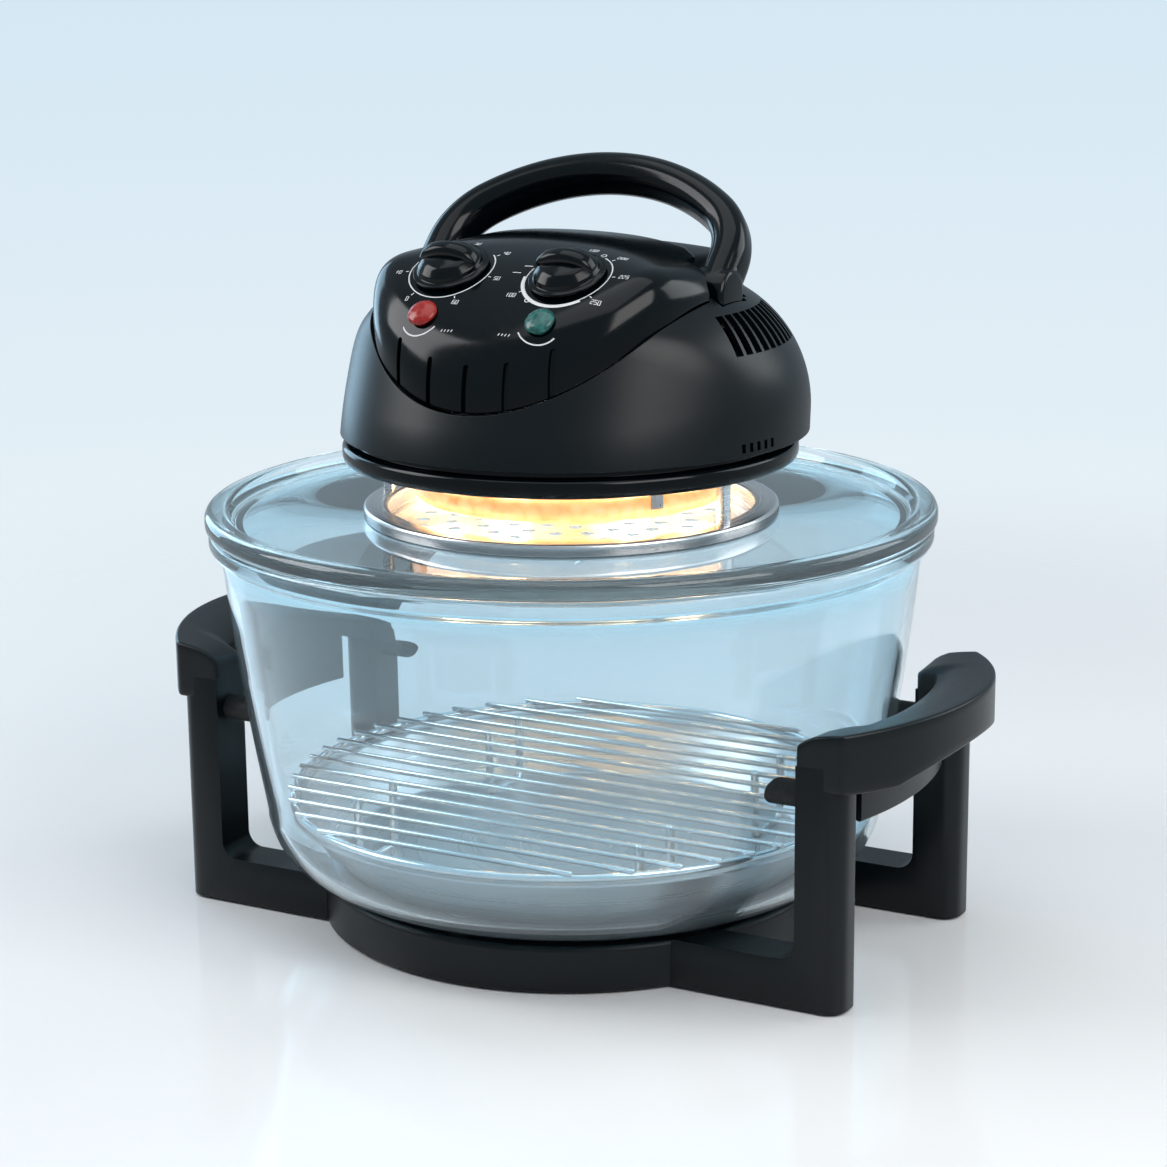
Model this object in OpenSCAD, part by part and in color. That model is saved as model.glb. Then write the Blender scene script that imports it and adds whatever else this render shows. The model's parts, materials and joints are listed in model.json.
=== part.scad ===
// Halogen oven: glass bowl in a two-grip stand, with a glass lid that carries the heater head.
// Origin on the worktop under the bowl's centre, +Z up, grips on +X and -X, control panel facing -Y.

/* [Stand] */
// Outer radius of the base ring
ring_r = 120; // [112:1:126]
// Inner radius of the base ring
ring_in_r = 90; // [80:1:96]
// Height of the top of the base ring
ring_h = 22.5; // [18:0.5:26]
// Wall of the stand's mouldings
stand_wall = 3; // [2:0.5:4]
// Distance of the legs' centre lines from the middle plane
leg_y = 67; // [62:1:72]
// Width of a leg
leg_w = 22; // [18:1:26]
// Height of a leg's arm
arm_h = 23; // [18:0.5:26]
// Inner face of the posts
post_in = 151; // [149:0.5:154]
// Outer face of the posts
post_out = 173; // [170:0.5:178]
// Height of the posts
post_top = 101; // [94:1:108]
// Radius of a post's outer corners
post_round = 9; // [6:0.5:10.5]
// Reach of the rubber plugs below the legs
foot_reach = 1.2; // [0.8:0.1:3]
// Height of the bowl's floor above the ring
pad_reach = 2.3; // [1:0.1:4]
// Diameter of a silicone pad under the bowl
pad_d = 12; // [8:1:16]
// Radius of the circle that the silicone pads stand on
pad_circle_r = 105; // [99:1:108]

/* [Grips] */
// Outermost reach of a grip from the middle
grip_reach = 203.5; // [198:0.5:210]
// Height of a grip's outer top edge
grip_top = 130; // [126:0.5:134]
// Height of a grip's inner top edge
grip_inner_top = 125; // [120:0.5:128]
// Height of the arch under a grip
grip_arch_h = 110; // [107:0.5:114]
// Thickness of the inner wall of a grip
grip_wall = 3.3; // [2.5:0.1:5]
// Lowest edge of a grip's inner wall
grip_wall_low = 80; // [70:1:90]
// Half width of a grip's inner wall
grip_wall_half = 46; // [38:1:52]
// Height of the rubber buttons that steady the bowl
button_z = 96; // [88:0.5:96]
// Diameter of a rubber button
button_d = 12; // [8:0.5:14]

/* [Bowl] */
// Radius of the flat floor of the bowl
bowl_floor_r = 111.5; // [110:0.5:113]
// Outer radius of the bowl's lower corner
bowl_corner_r = 35; // [33:0.5:37]
// Gain in radius from the corner to the neck
bowl_flare = 16; // [13:0.5:17]
// Height of the bowl's side, from the corner to the neck
bowl_side_h = 115.2; // [108:0.2:122]
// Height of the rolled rim above the neck
bowl_rim_h = 16; // [13:0.5:18]
// Thickness of the bowl's glass
bowl_t = 4.5; // [3.5:0.1:5.5]
// Bead of the rim outside the neck
bowl_bead = 6; // [4:0.5:8]

/* [Tray and rack] */
// Radius of the drip tray's floor
tray_floor_r = 110; // [104:1:112]
// Radius of the drip tray's mouth
tray_mouth_r = 131; // [127:1:132]
// Height of the drip tray
tray_h = 28; // [22:1:30]
// Thickness of the tray's sheet
tray_t = 0.9; // [0.6:0.1:1.5]
// Radius of the rack's ring, at the middle of its wire
rack_ring_r = 134; // [132.5:0.5:135]
// Height of the rack's ring above the tray's floor
rack_h = 30.5; // [29.5:0.5:40]
// Wire of the rack's ring and legs
rack_wire = 4; // [3:0.5:4.5]
// Wire of the rack's bars
bar_wire = 2.6; // [2:0.1:3]
// Spacing of the rack's bars
bar_pitch = 15; // [11:0.5:24]

/* [Lid] */
// Outer radius of the lid
lid_r = 170; // [168.5:0.5:173]
// Height of the lid's rolled rim
lid_rim_h = 9; // [7:0.5:12]
// Width of the lid's rolled rim
lid_rim_w = 10; // [8:0.5:13]
// Thickness of the lid's glass
lid_t = 5; // [4:0.1:6]
// Drop of the lid's glass below the bowl's rim
lid_drop = 2.5; // [1.5:0.1:4]
// Radius of the opening in the lid's glass
lid_hole_r = 92; // [88:0.5:94]
// Outer radius of the clamp rings
clamp_r = 96.7; // [95.5:0.1:100]
// Height of the upper clamp ring above the glass
clamp_h = 5.5; // [4:0.1:7]
// Sheet of the clamp rings
clamp_t = 1.2; // [0.8:0.1:2]
// Inner radius of the clamp rings
clamp_in_r = 85; // [80:0.5:86]
// Diameter of the holes in the guard plate
guard_hole_d = 7; // [5:0.5:9]

/* [Heater] */
// Gap between the lid's clamp ring and the head
heater_gap = 21.5; // [18:0.5:26]
// Side of the three posts that carry the head
strut_w = 5; // [4:0.5:6]
// Radius of the lamp ring, at the middle of its tube
lamp_ring_r = 68; // [64:0.5:70]
// Diameter of the lamp's tube
lamp_tube_d = 11; // [8:0.5:12]
// Sweep of the lamp's tube, in degrees
lamp_sweep = 318; // [300:1:325]
// Radius of the hot-air fan
hot_fan_r = 48; // [40:1:52]

/* [Head] */
// Outer radius of the collar
collar_r = 105.7; // [104:0.1:108]
// Height of the collar's outer band
collar_h = 8.5; // [7:0.5:11]
// Radius of the neck between the collar and the housing
neck_r = 100; // [98:0.5:101]
// Shadow gap between the collar and the housing
shadow_gap = 3.5; // [2:0.5:5]
// Radius of the housing at its foot
dome_r = 109; // [106:0.5:112]
// Height of the housing's top above its foot
dome_h = 72.2; // [70:0.2:74]
// Radius of the housing's side curve
dome_curve_r = 61.5; // [58:0.5:65]
// Radius of the housing's shoulder
shoulder_r = 28; // [25:1:31]
// Setback of the housing's centre behind the lid's centre
dome_back = 4; // [3:0.5:5]
// Lean of the whole housing towards the back, in degrees
dome_lean = 5; // [4:0.5:6]
// Radius of the housing's front wall
drum_r = 112.4; // [111.6:0.1:113.4]
// Setback of the front wall's centre behind the housing's centre
drum_back = 9.2; // [8.6:0.1:9.8]
// Lean of the housing's front wall, in degrees
front_lean = 21; // [19:0.5:22]
// Wall of the housing and the panel
head_wall = 2.5; // [1.8:0.1:3.2]
// Reach of the panel in front of the middle
panel_reach = 95.4; // [94:0.2:96]
// Half width of the panel
panel_half = 79.3; // [78:0.1:80]
// Radius of the panel's upright front
panel_front_r = 87.4; // [85:0.2:89]
// Radius of the panel's upright sides
panel_side_r = 118; // [110:1:130]
// Height of the head's crown above the housing's foot
crown_h = 92; // [89:0.5:96]
// Radius of the panel's fore-and-aft curve
panel_curve_r = 127; // [122:1:135]
// Radius of the panel's side-to-side curve
crown_curve_r = 230; // [200:5:260]
// Radius of the panel's lower edge, seen from the front
seam_r = 94; // [92:0.5:97]
// Height of the panel's lowest lip above the housing's foot
lip_h = 22.4; // [20:0.4:25]
// Half width of the hump behind the panel
hump_half = 62; // [58:0.5:63]
// Width of a side louvre
louvre_w = 5; // [3.5:0.1:5.4]
// Height of the side louvres
louvre_h = 16.5; // [12:0.5:18]
// Number of louvres on each side
louvre_count = 10; // [7:1:10]

/* [Controls] */
// Distance of the knobs and lamps from the middle plane
knob_x = 29.6; // [27:0.1:32]
// Distance of the knobs in front of the crown, measured along Y
knob_y = 53.9; // [50:0.5:57]
// Radius of a knob
knob_r = 17.5; // [15:0.5:19]
// Height of a knob
knob_h = 14; // [11:0.5:17]
// Diameter of the control spindles
spindle_d = 6; // [5:0.5:8]
// Distance of the lamps in front of the crown, measured along Y
lens_y = 79.2; // [77:0.2:81]
// Radius of a lamp lens
lens_r = 6.8; // [5.5:0.1:8]
// Width of the grooves in the front
groove_w = 2.2; // [1.2:0.1:3]
// Height of the grooves in the front
groove_h = 21; // [15:0.5:23]
// Spacing of the grooves in the front
groove_pitch = 19.3; // [14:0.1:21]
// Number of grooves in the front
groove_count = 5; // [3:2:7]

/* [Handle] */
// Distance of the handle's legs from the middle plane
handle_half = 74; // [72:0.5:78]
// Thickness of the handle's bar
bar_t = 16.6; // [14:0.2:17]
// Width of the handle's bar
bar_w = 22; // [18:0.5:22.5]
// Length of the handle's straight legs
handle_leg = 16.5; // [14:0.5:20]
// Rise of the handle's bow above its legs
handle_rise = 49; // [44:0.5:54]
// Radius of the handle's corners
handle_corner_r = 36; // [30:0.5:42]
// Height of the handle's pivot above the housing's foot
pivot_h = 66.5; // [65.5:0.1:67.5]
// Lean of the handle when it is down, in degrees
handle_lean = 45; // [40:1:50]
// Travel of the handle up to its carrying position, in degrees
handle_travel = 48; // [30:1:50]
// Diameter of the pivot pins
pin_d = 8; // [6:0.5:10]

/* [Motor] */
// Width of the motor's stack of laminations
stator_w = 56; // [50:1:60]
// Thickness of the motor's stack of laminations
stator_h = 18; // [14:1:22]
// Radius of the rotor
rotor_r = 14; // [11:0.5:16]
// Diameter of the motor's shaft
shaft_d = 6; // [5:0.5:8]
// Radius of the cooling fan
cooling_fan_r = 52; // [44:1:58]

/* [Clearances] */
// Gap between seated pieces of one body
seat_gap = 0.1; // [0.05:0.01:0.2]
// Gap between curved faces of pieces that move apart
body_gap = 0.3; // [0.25:0.05:0.5]
// Radial play of a shaft or a pin in its hole
run_gap = 0.06; // [0.03:0.01:0.1]

/* [Hidden] */
$fn = 96;
eps = 0.01;
far = 400;

// Stand
foot_plug_h = 7;
arm_in = 90;
post_plate = 4;
post_screw_x = (post_in + post_out) / 2 - 1;
post_screw_deep = 16;
button_pocket = 2;
button_sink = 5;
screw_d = 4;
screw_head_d = 7.5;
screw_head_h = 2.4;
ring_boss_w = 12;
ring_boss_x = sqrt(pow(ring_r - stand_wall, 2) - pow(leg_y + ring_boss_w / 2, 2)) - 2;
button_screw_d = 3;
grip_seat_half = leg_y - leg_w / 2 - 1;
grip_in_r = post_in + 20.7;
grip_end = leg_y + leg_w / 2;
grip_sag = 30.5;
grip_curve_r = (pow(grip_end, 2) + pow(grip_sag, 2)) / (2 * grip_sag);
arch_sag = grip_arch_h - post_top - seat_gap;
arch_r = (pow(grip_seat_half, 2) + pow(arch_sag, 2)) / (2 * arch_sag);

// Bowl
bowl_z = ring_h + pad_reach;
corner_z = bowl_z + bowl_corner_r;
neck_z = corner_z + bowl_side_h;
bowl_top = neck_z + bowl_rim_h;
side_r = bowl_floor_r + bowl_corner_r;
neck_r_out = side_r + bowl_flare;
bowl_floor_in = bowl_z + bowl_t;
button_reach = post_in - sqrt(pow(bowl_side(button_z), 2) - pow(leg_y, 2));

// Tray and rack
tray_z = bowl_floor_in;
tray_top = tray_z + tray_h;
tray_corner = 6;
rack_z = tray_z + tray_t + rack_h;

// Lid
lid_z = bowl_top;
glass_top = lid_z + lid_drop;
glass_low = glass_top - lid_t;
lid_inner_r = neck_r_out - bowl_t - 3;
rim_in_r = lid_r - lid_rim_w;
clamp_top = glass_top + seat_gap + clamp_h;
clamp_low = glass_low - 3.4;
guard_t = 0.8;
guard_z = clamp_low + 2.6;
seal_t = 1.2;

// Heater
collar_z = clamp_top + heater_gap;
collar_top = collar_z + collar_h;
strut_r = 90;
post_screw_d = 2.4;
strut_angles = [-12, -168, 90];
reflector_r = 94;
reflector_drop = 4;
reflector_t = 0.8;
reflector_z = collar_z + 2.6;
post_seat_z = reflector_z + reflector_t;
lamp_z = collar_z - reflector_drop - 9;
hot_fan_h = 9;
hot_fan_z = reflector_z - reflector_drop - hot_fan_h - 1.5;
shield_t = 1;
shield_r = neck_r - 4;

// Head
foot_z = collar_top + shadow_gap;
crown_z = foot_z + crown_h;
crown_y = 3;
lip_z = foot_z + lip_h;
curve_end = 67.7;
dome_wall_h = dome_h - shoulder_r - (dome_curve_r - shoulder_r) * sin(curve_end);
shoulder_c = dome_r - dome_curve_r + (dome_curve_r - shoulder_r) * cos(curve_end);
dome_foot = -dome_r * sin(dome_lean) - 2;
panel_gap = 0.3;
panel_side_y = -15;
side_cut_x = panel_half - 1.3;
side_cut_y = panel_side_y + 1;
back_cut_x = 55;
back_cut_y = 10;
hump_gap = 0.7;
hump_front = -12;
pivot_y = 2;
pivot_z = foot_z + pivot_h;
hump_back_r = 52;
louvre_in_r = 85.7;
louvre_z = foot_z + 43.4;
louvre_step = 4;
louvre_start = -15;
vent_w = 2.2;
inlet_hole_w = 27.6;
inlet_hole_h = 20.6;
inlet_z = foot_z + 22.3;
inlet_pad = 5;
inlet_face_y = dome_back + dome_r + 1.6;

// Controls
function panel_z(y) = crown_z - panel_curve_r + sqrt(pow(panel_curve_r, 2) - pow(y - crown_y, 2));
function panel_tilt(y) = asin((crown_y - y) / panel_curve_r);
knob_tilt = panel_tilt(-knob_y);
knob_face_z = panel_z(-knob_y);
lens_tilt = panel_tilt(-lens_y);
lens_face_z = panel_z(-lens_y);
knob_lift = 1;
control_w = 36;
control_h = 20;
control_drop = 7;
spindle_up = 9;

// Handle
pin_seat = 12;
foot_r = bar_w / 2 + 0.5;
foot_half = bar_t / 2 + 0.3;
cam_rise = 1;
cam_gap = 0.15;
pocket_r = foot_r + cam_rise + 0.7;
pocket_in = handle_half - foot_half - 0.9;
pocket_out = handle_half + foot_half + 0.9;
pocket_w = pocket_out - pocket_in;
well_wall = 2;
leg_inset = 0.5;
leg_room_back = 17.6;
leg_room_down = 3.1;
boss_r = 9.5;
bow_r = (pow(handle_half - handle_corner_r, 2) + pow(handle_rise, 2) - pow(handle_corner_r, 2))
    / (2 * (handle_rise - handle_corner_r));
bow_c = handle_rise - bow_r;
bow_angle = atan2(handle_half - handle_corner_r, -bow_c);
bow_lap = 1;

// Motor
stator_z = collar_top + 26;
fan_z = collar_top + 5;
fan_h = 8;
bridge_t = 2;
bearing_d = 14;
bearing_h = 7;
bridge_low = stator_z - 8;
bridge_high = stator_z + stator_h + 6;
shaft_low = hot_fan_z - 6;
shaft_high = bridge_high + bearing_h + 2;
stack_post = 22;
base_post = cooling_fan_r * 0.71 + 6;
post_rod_d = 4;

// ---------- shared forms ----------

// A ring with a square section.
module ring(r_out, r_in, z, h) {
    translate([0, 0, z]) difference() {
        cylinder(r = r_out, h = h);
        translate([0, 0, -eps]) cylinder(r = r_in, h = h + 2 * eps);
    }
}

// A copy on each side of the middle plane.
module both_sides() {
    children();
    mirror([1, 0, 0]) children();
}

// A copy at each of the four legs.
module four_legs() {
    for (sx = [0, 1]) {
        for (sy = [0, 1]) {
            mirror([sx, 0, 0]) mirror([0, sy, 0]) children();
        }
    }
}

// A screw along +Z, with its head's top at the origin.
module screw(length, d = screw_d) {
    translate([0, 0, -screw_head_h]) cylinder(d = d * 1.9, h = screw_head_h);
    translate([0, 0, -length]) cylinder(d = d, h = length - screw_head_h + eps);
}

// Children placed on the panel's face, with +Z along its outward normal.
module on_panel(x, y, z, tilt) {
    translate([x, -y, z]) rotate([tilt, 0, 0]) children();
}

// Children placed on the handle's pivot, with +Z along its legs.
module on_pivot() {
    translate([0, pivot_y, pivot_z]) rotate([-handle_lean, 0, 0]) children();
}

// A cylinder along X between two places.
module x_rod(x0, x1, r) {
    translate([x0, 0, 0]) rotate([0, 90, 0]) cylinder(r = r, h = x1 - x0);
}

// ---------- stand ----------

module base_ring() color([0.05, 0.06, 0.07]) {
    edge = 2.5;
    difference() {
        rotate_extrude() polygon([
            [ring_in_r, foot_reach], [ring_r, foot_reach], [ring_r, ring_h - edge],
            [ring_r - edge * 0.3, ring_h - edge * 0.3], [ring_r - edge, ring_h],
            [ring_in_r + edge, ring_h], [ring_in_r, ring_h - edge]
        ]);
        difference() {
            ring(ring_r - stand_wall, ring_in_r + stand_wall, foot_reach - eps,
                ring_h - foot_reach - stand_wall);
            four_legs() translate([ring_boss_x, leg_y - ring_boss_w / 2, 0])
                cube([far, ring_boss_w, ring_h]);
        }
        pad_places() translate([0, 0, ring_h - stand_wall / 2]) cylinder(d = pad_d + 2 * seat_gap, h = far);
        four_legs() stand_screw_place() cylinder(d = screw_d + 2 * seat_gap, h = far, center = true);
    }
}

// Places of the silicone pads.
module pad_places() {
    for (k = [0 : 5]) {
        rotate([0, 0, 60 * k + 30]) translate([pad_circle_r, 0, 0]) children();
    }
}

module bowl_pads() color([0.25, 0.25, 0.25]) {
    pad_places() translate([0, 0, ring_h - stand_wall / 2])
        cylinder(d = pad_d, h = pad_reach + stand_wall / 2);
}

// Axis of a screw from the ring's channel into an arm, pointing along +X.
module stand_screw_place() {
    translate([0, leg_y, arm_h / 2]) rotate([0, 90, 0]) children();
}

// Plan of a post, with its outer corners rounded.
module post_plan(inset = 0) {
    x0 = post_in + inset;
    x1 = post_out - inset;
    y0 = leg_y - leg_w / 2 + inset;
    y1 = leg_y + leg_w / 2 - inset;
    r = max(post_round - inset, 1);
    translate([x0, y0]) square([x1 - x0 - r, y1 - y0]);
    translate([x0, y0 + r]) square([x1 - x0, y1 - y0 - 2 * r]);
    translate([x1 - r, y0 + r]) circle(r = r);
    translate([x1 - r, y1 - r]) circle(r = r);
}

// One leg, on the +X +Y corner: an arm along X and a post.
module leg() color([0.04, 0.045, 0.055]) {
    fillet_r = 8;
    screw_sink = 6;
    difference() {
        union() {
            translate([0, 0, foot_reach]) linear_extrude(post_top - foot_reach) post_plan();
            translate([arm_in, leg_y - leg_w / 2, foot_reach])
                cube([post_in + post_round - arm_in, leg_w, arm_h - foot_reach]);
            difference() {
                translate([post_in - fillet_r, leg_y - leg_w / 2, arm_h - eps])
                    cube([fillet_r + eps, leg_w, fillet_r + eps]);
                translate([post_in - fillet_r, leg_y - leg_w, arm_h + fillet_r])
                    rotate([-90, 0, 0]) cylinder(r = fillet_r, h = 2 * leg_w);
            }
        }
        translate([0, 0, -eps]) cylinder(r = ring_r + seat_gap, h = far);
        translate([0, 0, -eps]) linear_extrude(post_top - post_plate + eps) post_plan(stand_wall);
        translate([sqrt(pow(ring_r, 2) - pow(leg_y - leg_w / 2, 2)) + 2 * stand_wall,
            leg_y - leg_w / 2 + stand_wall, -eps])
            cube([post_in - ring_r + 10, leg_w - 2 * stand_wall, arm_h - stand_wall + eps]);
        stand_screw_place() cylinder(d = screw_d - 0.4, h = far);
        translate([post_screw_x, leg_y, 0]) cylinder(d = screw_d + 2 * seat_gap, h = far);
        button_place() translate([0, 0, -button_pocket])
            cylinder(d = button_d - 3, h = button_pocket + eps);
        button_place() translate([0, 0, -screw_sink])
            cylinder(d = button_screw_d + 2 * seat_gap, h = screw_sink);
    }
}

module leg_front_right() mirror([0, 1, 0]) leg();
module leg_rear_right() leg();
module leg_front_left() mirror([1, 0, 0]) mirror([0, 1, 0]) leg();
module leg_rear_left() mirror([1, 0, 0]) leg();

// Plan of a grip: a crescent between the bowl's side and the outer arc.
module grip_plan() {
    intersection() {
        translate([grip_reach - grip_curve_r, 0]) circle(r = grip_curve_r, $fn = 180);
        translate([post_in, -grip_end]) square([far, 2 * grip_end]);
    }
}

// The right-hand grip, with the wall that faces the bowl.
module grip() color([0.04, 0.045, 0.055]) {
    cone_h = grip_top - grip_inner_top;
    difference() {
        union() {
            difference() {
                translate([0, 0, post_top + seat_gap])
                    linear_extrude(grip_top - post_top - seat_gap) grip_plan();
                translate([post_in - eps, 0, grip_arch_h - arch_r]) rotate([0, 90, 0])
                    cylinder(r = arch_r, h = far, $fn = 180);
            }
            intersection() {
                ring(grip_in_r + grip_wall, grip_in_r, grip_wall_low, grip_inner_top - grip_wall_low);
                translate([0, -grip_wall_half, 0]) cube([far, 2 * grip_wall_half, far]);
            }
        }
        translate([0, 0, post_top]) cylinder(r = grip_in_r, h = far, $fn = 180);
        translate([0, 0, grip_inner_top]) rotate_extrude($fn = 180) polygon([
            [0, 0], [grip_in_r, 0], [grip_reach, cone_h], [grip_reach + cone_h, 2 * cone_h], [0, 2 * cone_h]
        ]);
        for (s = [-1, 1]) {
            grip_screw_hole(s);
        }
    }
    for (s = [-1, 1]) {
        grip_end_fill(s);
    }
}

// Hole for the screw that comes up from a post.
module grip_screw_hole(s) {
    translate([post_screw_x, s * leg_y, 0]) cylinder(d = screw_d - 0.4, h = post_top + post_screw_deep);
}

// The part of a grip that covers a post's top, inside the crescent.
module grip_end_fill(s) {
    difference() {
        intersection() {
            translate([0, 0, post_top + seat_gap])
                linear_extrude(grip_inner_top - post_top - seat_gap - 1)
                mirror([0, s < 0 ? 1 : 0]) post_plan();
            translate([0, 0, post_top]) cylinder(r = grip_in_r + eps, h = far, $fn = 180);
        }
        grip_screw_hole(s);
    }
}

module grip_right() grip();
module grip_left() mirror([1, 0, 0]) grip();

// Axis of a button, on a post's inner face, pointing at the bowl.
module button_place() {
    translate([post_in, leg_y, button_z]) rotate([0, -90, 0]) children();
}

// Outer radius of the bowl's side at a height.
function bowl_side(z) = side_r + bowl_flare * side_share((z - corner_z) / bowl_side_h);
function side_share(u) = u * (1.28 - 0.28 * u);

module steady_buttons() color([0.08, 0.08, 0.08]) {
    four_legs() difference() {
        button_place() translate([0, 0, -button_pocket + seat_gap]) union() {
            cylinder(d = button_d - 3 - 2 * seat_gap, h = button_pocket);
            translate([0, 0, button_pocket]) cylinder(d = button_d, h = 20);
        }
        translate([0, 0, button_z - button_d])
            cylinder(r1 = bowl_side(button_z - button_d) + body_gap,
                r2 = bowl_side(button_z + button_d) + body_gap, h = 2 * button_d, $fn = 180);
        button_place() translate([0, 0, -button_pocket])
            cylinder(d = button_screw_d + 2 * seat_gap, h = 30);
        button_place() translate([0, 0, button_reach - button_sink - screw_head_h - seat_gap])
            cylinder(d = button_screw_d * 1.9 + 4 * seat_gap, h = 30);
    }
}

module button_screws() color([0.6, 0.6, 0.62]) {
    four_legs() button_place() translate([0, 0, button_reach - button_sink])
        screw(button_reach - button_sink + 5, button_screw_d);
}

module stand_screws() color([0.6, 0.6, 0.62]) {
    arm_screw_l = 22;
    four_legs() translate([ring_boss_x - seat_gap - screw_head_h, leg_y, arm_h / 2])
        rotate([0, -90, 0]) screw(arm_screw_l, screw_d - 0.4);
    four_legs() translate([post_screw_x, leg_y, post_top - post_plate - screw_head_h - seat_gap])
        rotate([180, 0, 0]) screw(post_screw_deep + post_plate, screw_d - 0.4);
}

module foot_plugs() color([0.1, 0.1, 0.1]) {
    four_legs() linear_extrude(foot_plug_h) post_plan(stand_wall + seat_gap);
}

// ---------- bowl ----------

// Points of the bowl's section, inset by a thickness, from the axis out and up to the neck.
function bowl_section(t) = concat(
    [[0, bowl_z + t]],
    [for (a = [-90 : 10 : 0]) [
        bowl_floor_r + (bowl_corner_r - t) * cos(a), corner_z + (bowl_corner_r - t) * sin(a)
    ]],
    [for (k = [1 : 6]) [side_r - t + bowl_flare * side_share(k / 6), corner_z + bowl_side_h * k / 6]]
);

function reversed(list) = [for (k = [len(list) - 1 : -1 : 0]) list[k]];

module glass_bowl() color([0.72, 0.86, 0.93, 0.35]) {
    bead_low = bowl_rim_h * 0.35;
    rim = [
        [neck_r_out + 1, neck_z + bead_low], [neck_r_out + bowl_bead - 1, neck_z + bead_low + 3],
        [neck_r_out + bowl_bead, neck_z + bead_low + 5], [neck_r_out + bowl_bead, bowl_top - 1.5],
        [neck_r_out + bowl_bead - 1.5, bowl_top], [neck_r_out - bowl_t + 1, bowl_top],
        [neck_r_out - bowl_t, bowl_top - 1.5]
    ];
    rotate_extrude($fn = 180) polygon(concat(bowl_section(0), rim, reversed(bowl_section(bowl_t))));
}

// Points of the tray's section, inset by a thickness.
function tray_section(t) = [
    [0, tray_z + t], [tray_floor_r - t * 0.4, tray_z + t],
    [tray_floor_r + tray_corner * 0.6 - t * 0.8, tray_z + tray_corner * 0.35 + t * 0.4],
    [tray_mouth_r - t, tray_top - (t > 0 ? 0 : tray_t)]
];

module drip_tray() color([0.72, 0.72, 0.7]) {
    lip = 4;
    rotate_extrude($fn = 180) polygon(concat(
        tray_section(0),
        [[tray_mouth_r + lip, tray_top - tray_t], [tray_mouth_r + lip, tray_top]],
        reversed(tray_section(tray_t))
    ));
}

// A leg of the rack: two upright wires with a rung across their feet.
module rack_leg(half, low, top) {
    for (y = [-half, half]) {
        translate([0, y, low]) cylinder(d = rack_wire, h = top - low);
    }
    translate([0, 0, low + rack_wire]) rotate([90, 0, 0])
        cylinder(d = bar_wire, h = 2 * half, center = true);
}

module wire_rack() color([0.8, 0.8, 0.8]) {
    bars = floor((rack_ring_r - 10) / bar_pitch);
    bar_z = rack_z + rack_wire / 2 + bar_wire / 2 - 0.6;
    overhang = 2;
    leg_x = 74;
    leg_y_out = 4 * bar_pitch;
    translate([0, 0, rack_z]) rotate_extrude() translate([rack_ring_r, 0]) rotate(22.5)
        circle(d = rack_wire, $fn = 8);
    for (k = [-bars : bars]) {
        half = sqrt(pow(rack_ring_r + overhang, 2) - pow(k * bar_pitch, 2));
        translate([0, k * bar_pitch, bar_z]) x_rod(-half, half, bar_wire / 2);
    }
    for (x = [-leg_x, leg_x]) {
        for (y = [-leg_y_out, leg_y_out]) {
            translate([x, y, 0]) rack_leg(bar_pitch, tray_z + tray_t, bar_z);
        }
    }
}

// ---------- lid ----------

module glass_lid() color([0.72, 0.86, 0.93, 0.35]) {
    edge = 1.5;
    rotate_extrude($fn = 180) polygon([
        [lid_hole_r, glass_low], [lid_inner_r - 4, glass_low], [lid_inner_r, glass_low + 1.5],
        [lid_inner_r + 1, lid_z], [lid_r - edge, lid_z], [lid_r, lid_z + edge],
        [lid_r, lid_z + lid_rim_h - 2 * edge], [lid_r - edge * 0.6, lid_z + lid_rim_h - edge * 0.6],
        [lid_r - 2 * edge, lid_z + lid_rim_h], [rim_in_r + edge, lid_z + lid_rim_h],
        [rim_in_r, lid_z + lid_rim_h - edge], [rim_in_r - 2, glass_top + 2], [rim_in_r - 6, glass_top],
        [lid_hole_r, glass_top]
    ]);
}

module lid_seal() color([0.75, 0.3, 0.2]) {
    tube_r = clamp_in_r + clamp_t + seat_gap;
    rotate_extrude() polygon([
        [tube_r, glass_low], [lid_hole_r - seat_gap, glass_low],
        [lid_hole_r - seat_gap, glass_top + seat_gap], [lid_hole_r + 2.4, glass_top + seat_gap],
        [lid_hole_r + 2.4, glass_top + seat_gap + seal_t], [tube_r, glass_top + seat_gap + seal_t]
    ]);
}

module clamp_ring_upper() color([0.75, 0.76, 0.78]) {
    z0 = glass_top + seat_gap;
    difference() {
        rotate_extrude() polygon([
            [clamp_in_r, clamp_low], [clamp_in_r + clamp_t, clamp_low],
            [clamp_in_r + clamp_t, clamp_top - clamp_t], [clamp_r - clamp_t, clamp_top - clamp_t],
            [clamp_r - clamp_t, z0], [clamp_r, z0], [clamp_r, clamp_top - 1],
            [clamp_r - 1, clamp_top], [clamp_in_r, clamp_top]
        ]);
        strut_places() translate([0, 0, clamp_top - 2 * clamp_t])
            cylinder(d = post_screw_d + 2 * seat_gap, h = 3 * clamp_t);
    }
}

module clamp_ring_lower() color([0.75, 0.76, 0.78]) {
    tube_r = clamp_in_r + clamp_t + seat_gap;
    z0 = glass_low - seat_gap;
    rotate_extrude() polygon([
        [tube_r, clamp_low], [tube_r + clamp_t, clamp_low], [tube_r + clamp_t, z0 - clamp_t],
        [clamp_r, z0 - clamp_t], [clamp_r, z0], [tube_r, z0]
    ]);
}

module guard_plate() color([0.75, 0.76, 0.78]) {
    hole_pitch = guard_hole_d * 2;
    rows = floor((clamp_in_r - guard_hole_d) / hole_pitch);
    translate([0, 0, guard_z]) linear_extrude(guard_t) difference() {
        circle(r = clamp_in_r - seat_gap);
        for (j = [1 : rows]) {
            for (k = [0 : 6 * j - 1]) {
                rotate([0, 0, 60 * k / j + 7 * j]) translate([j * hole_pitch, 0])
                    circle(d = guard_hole_d, $fn = 24);
            }
        }
    }
}

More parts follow.
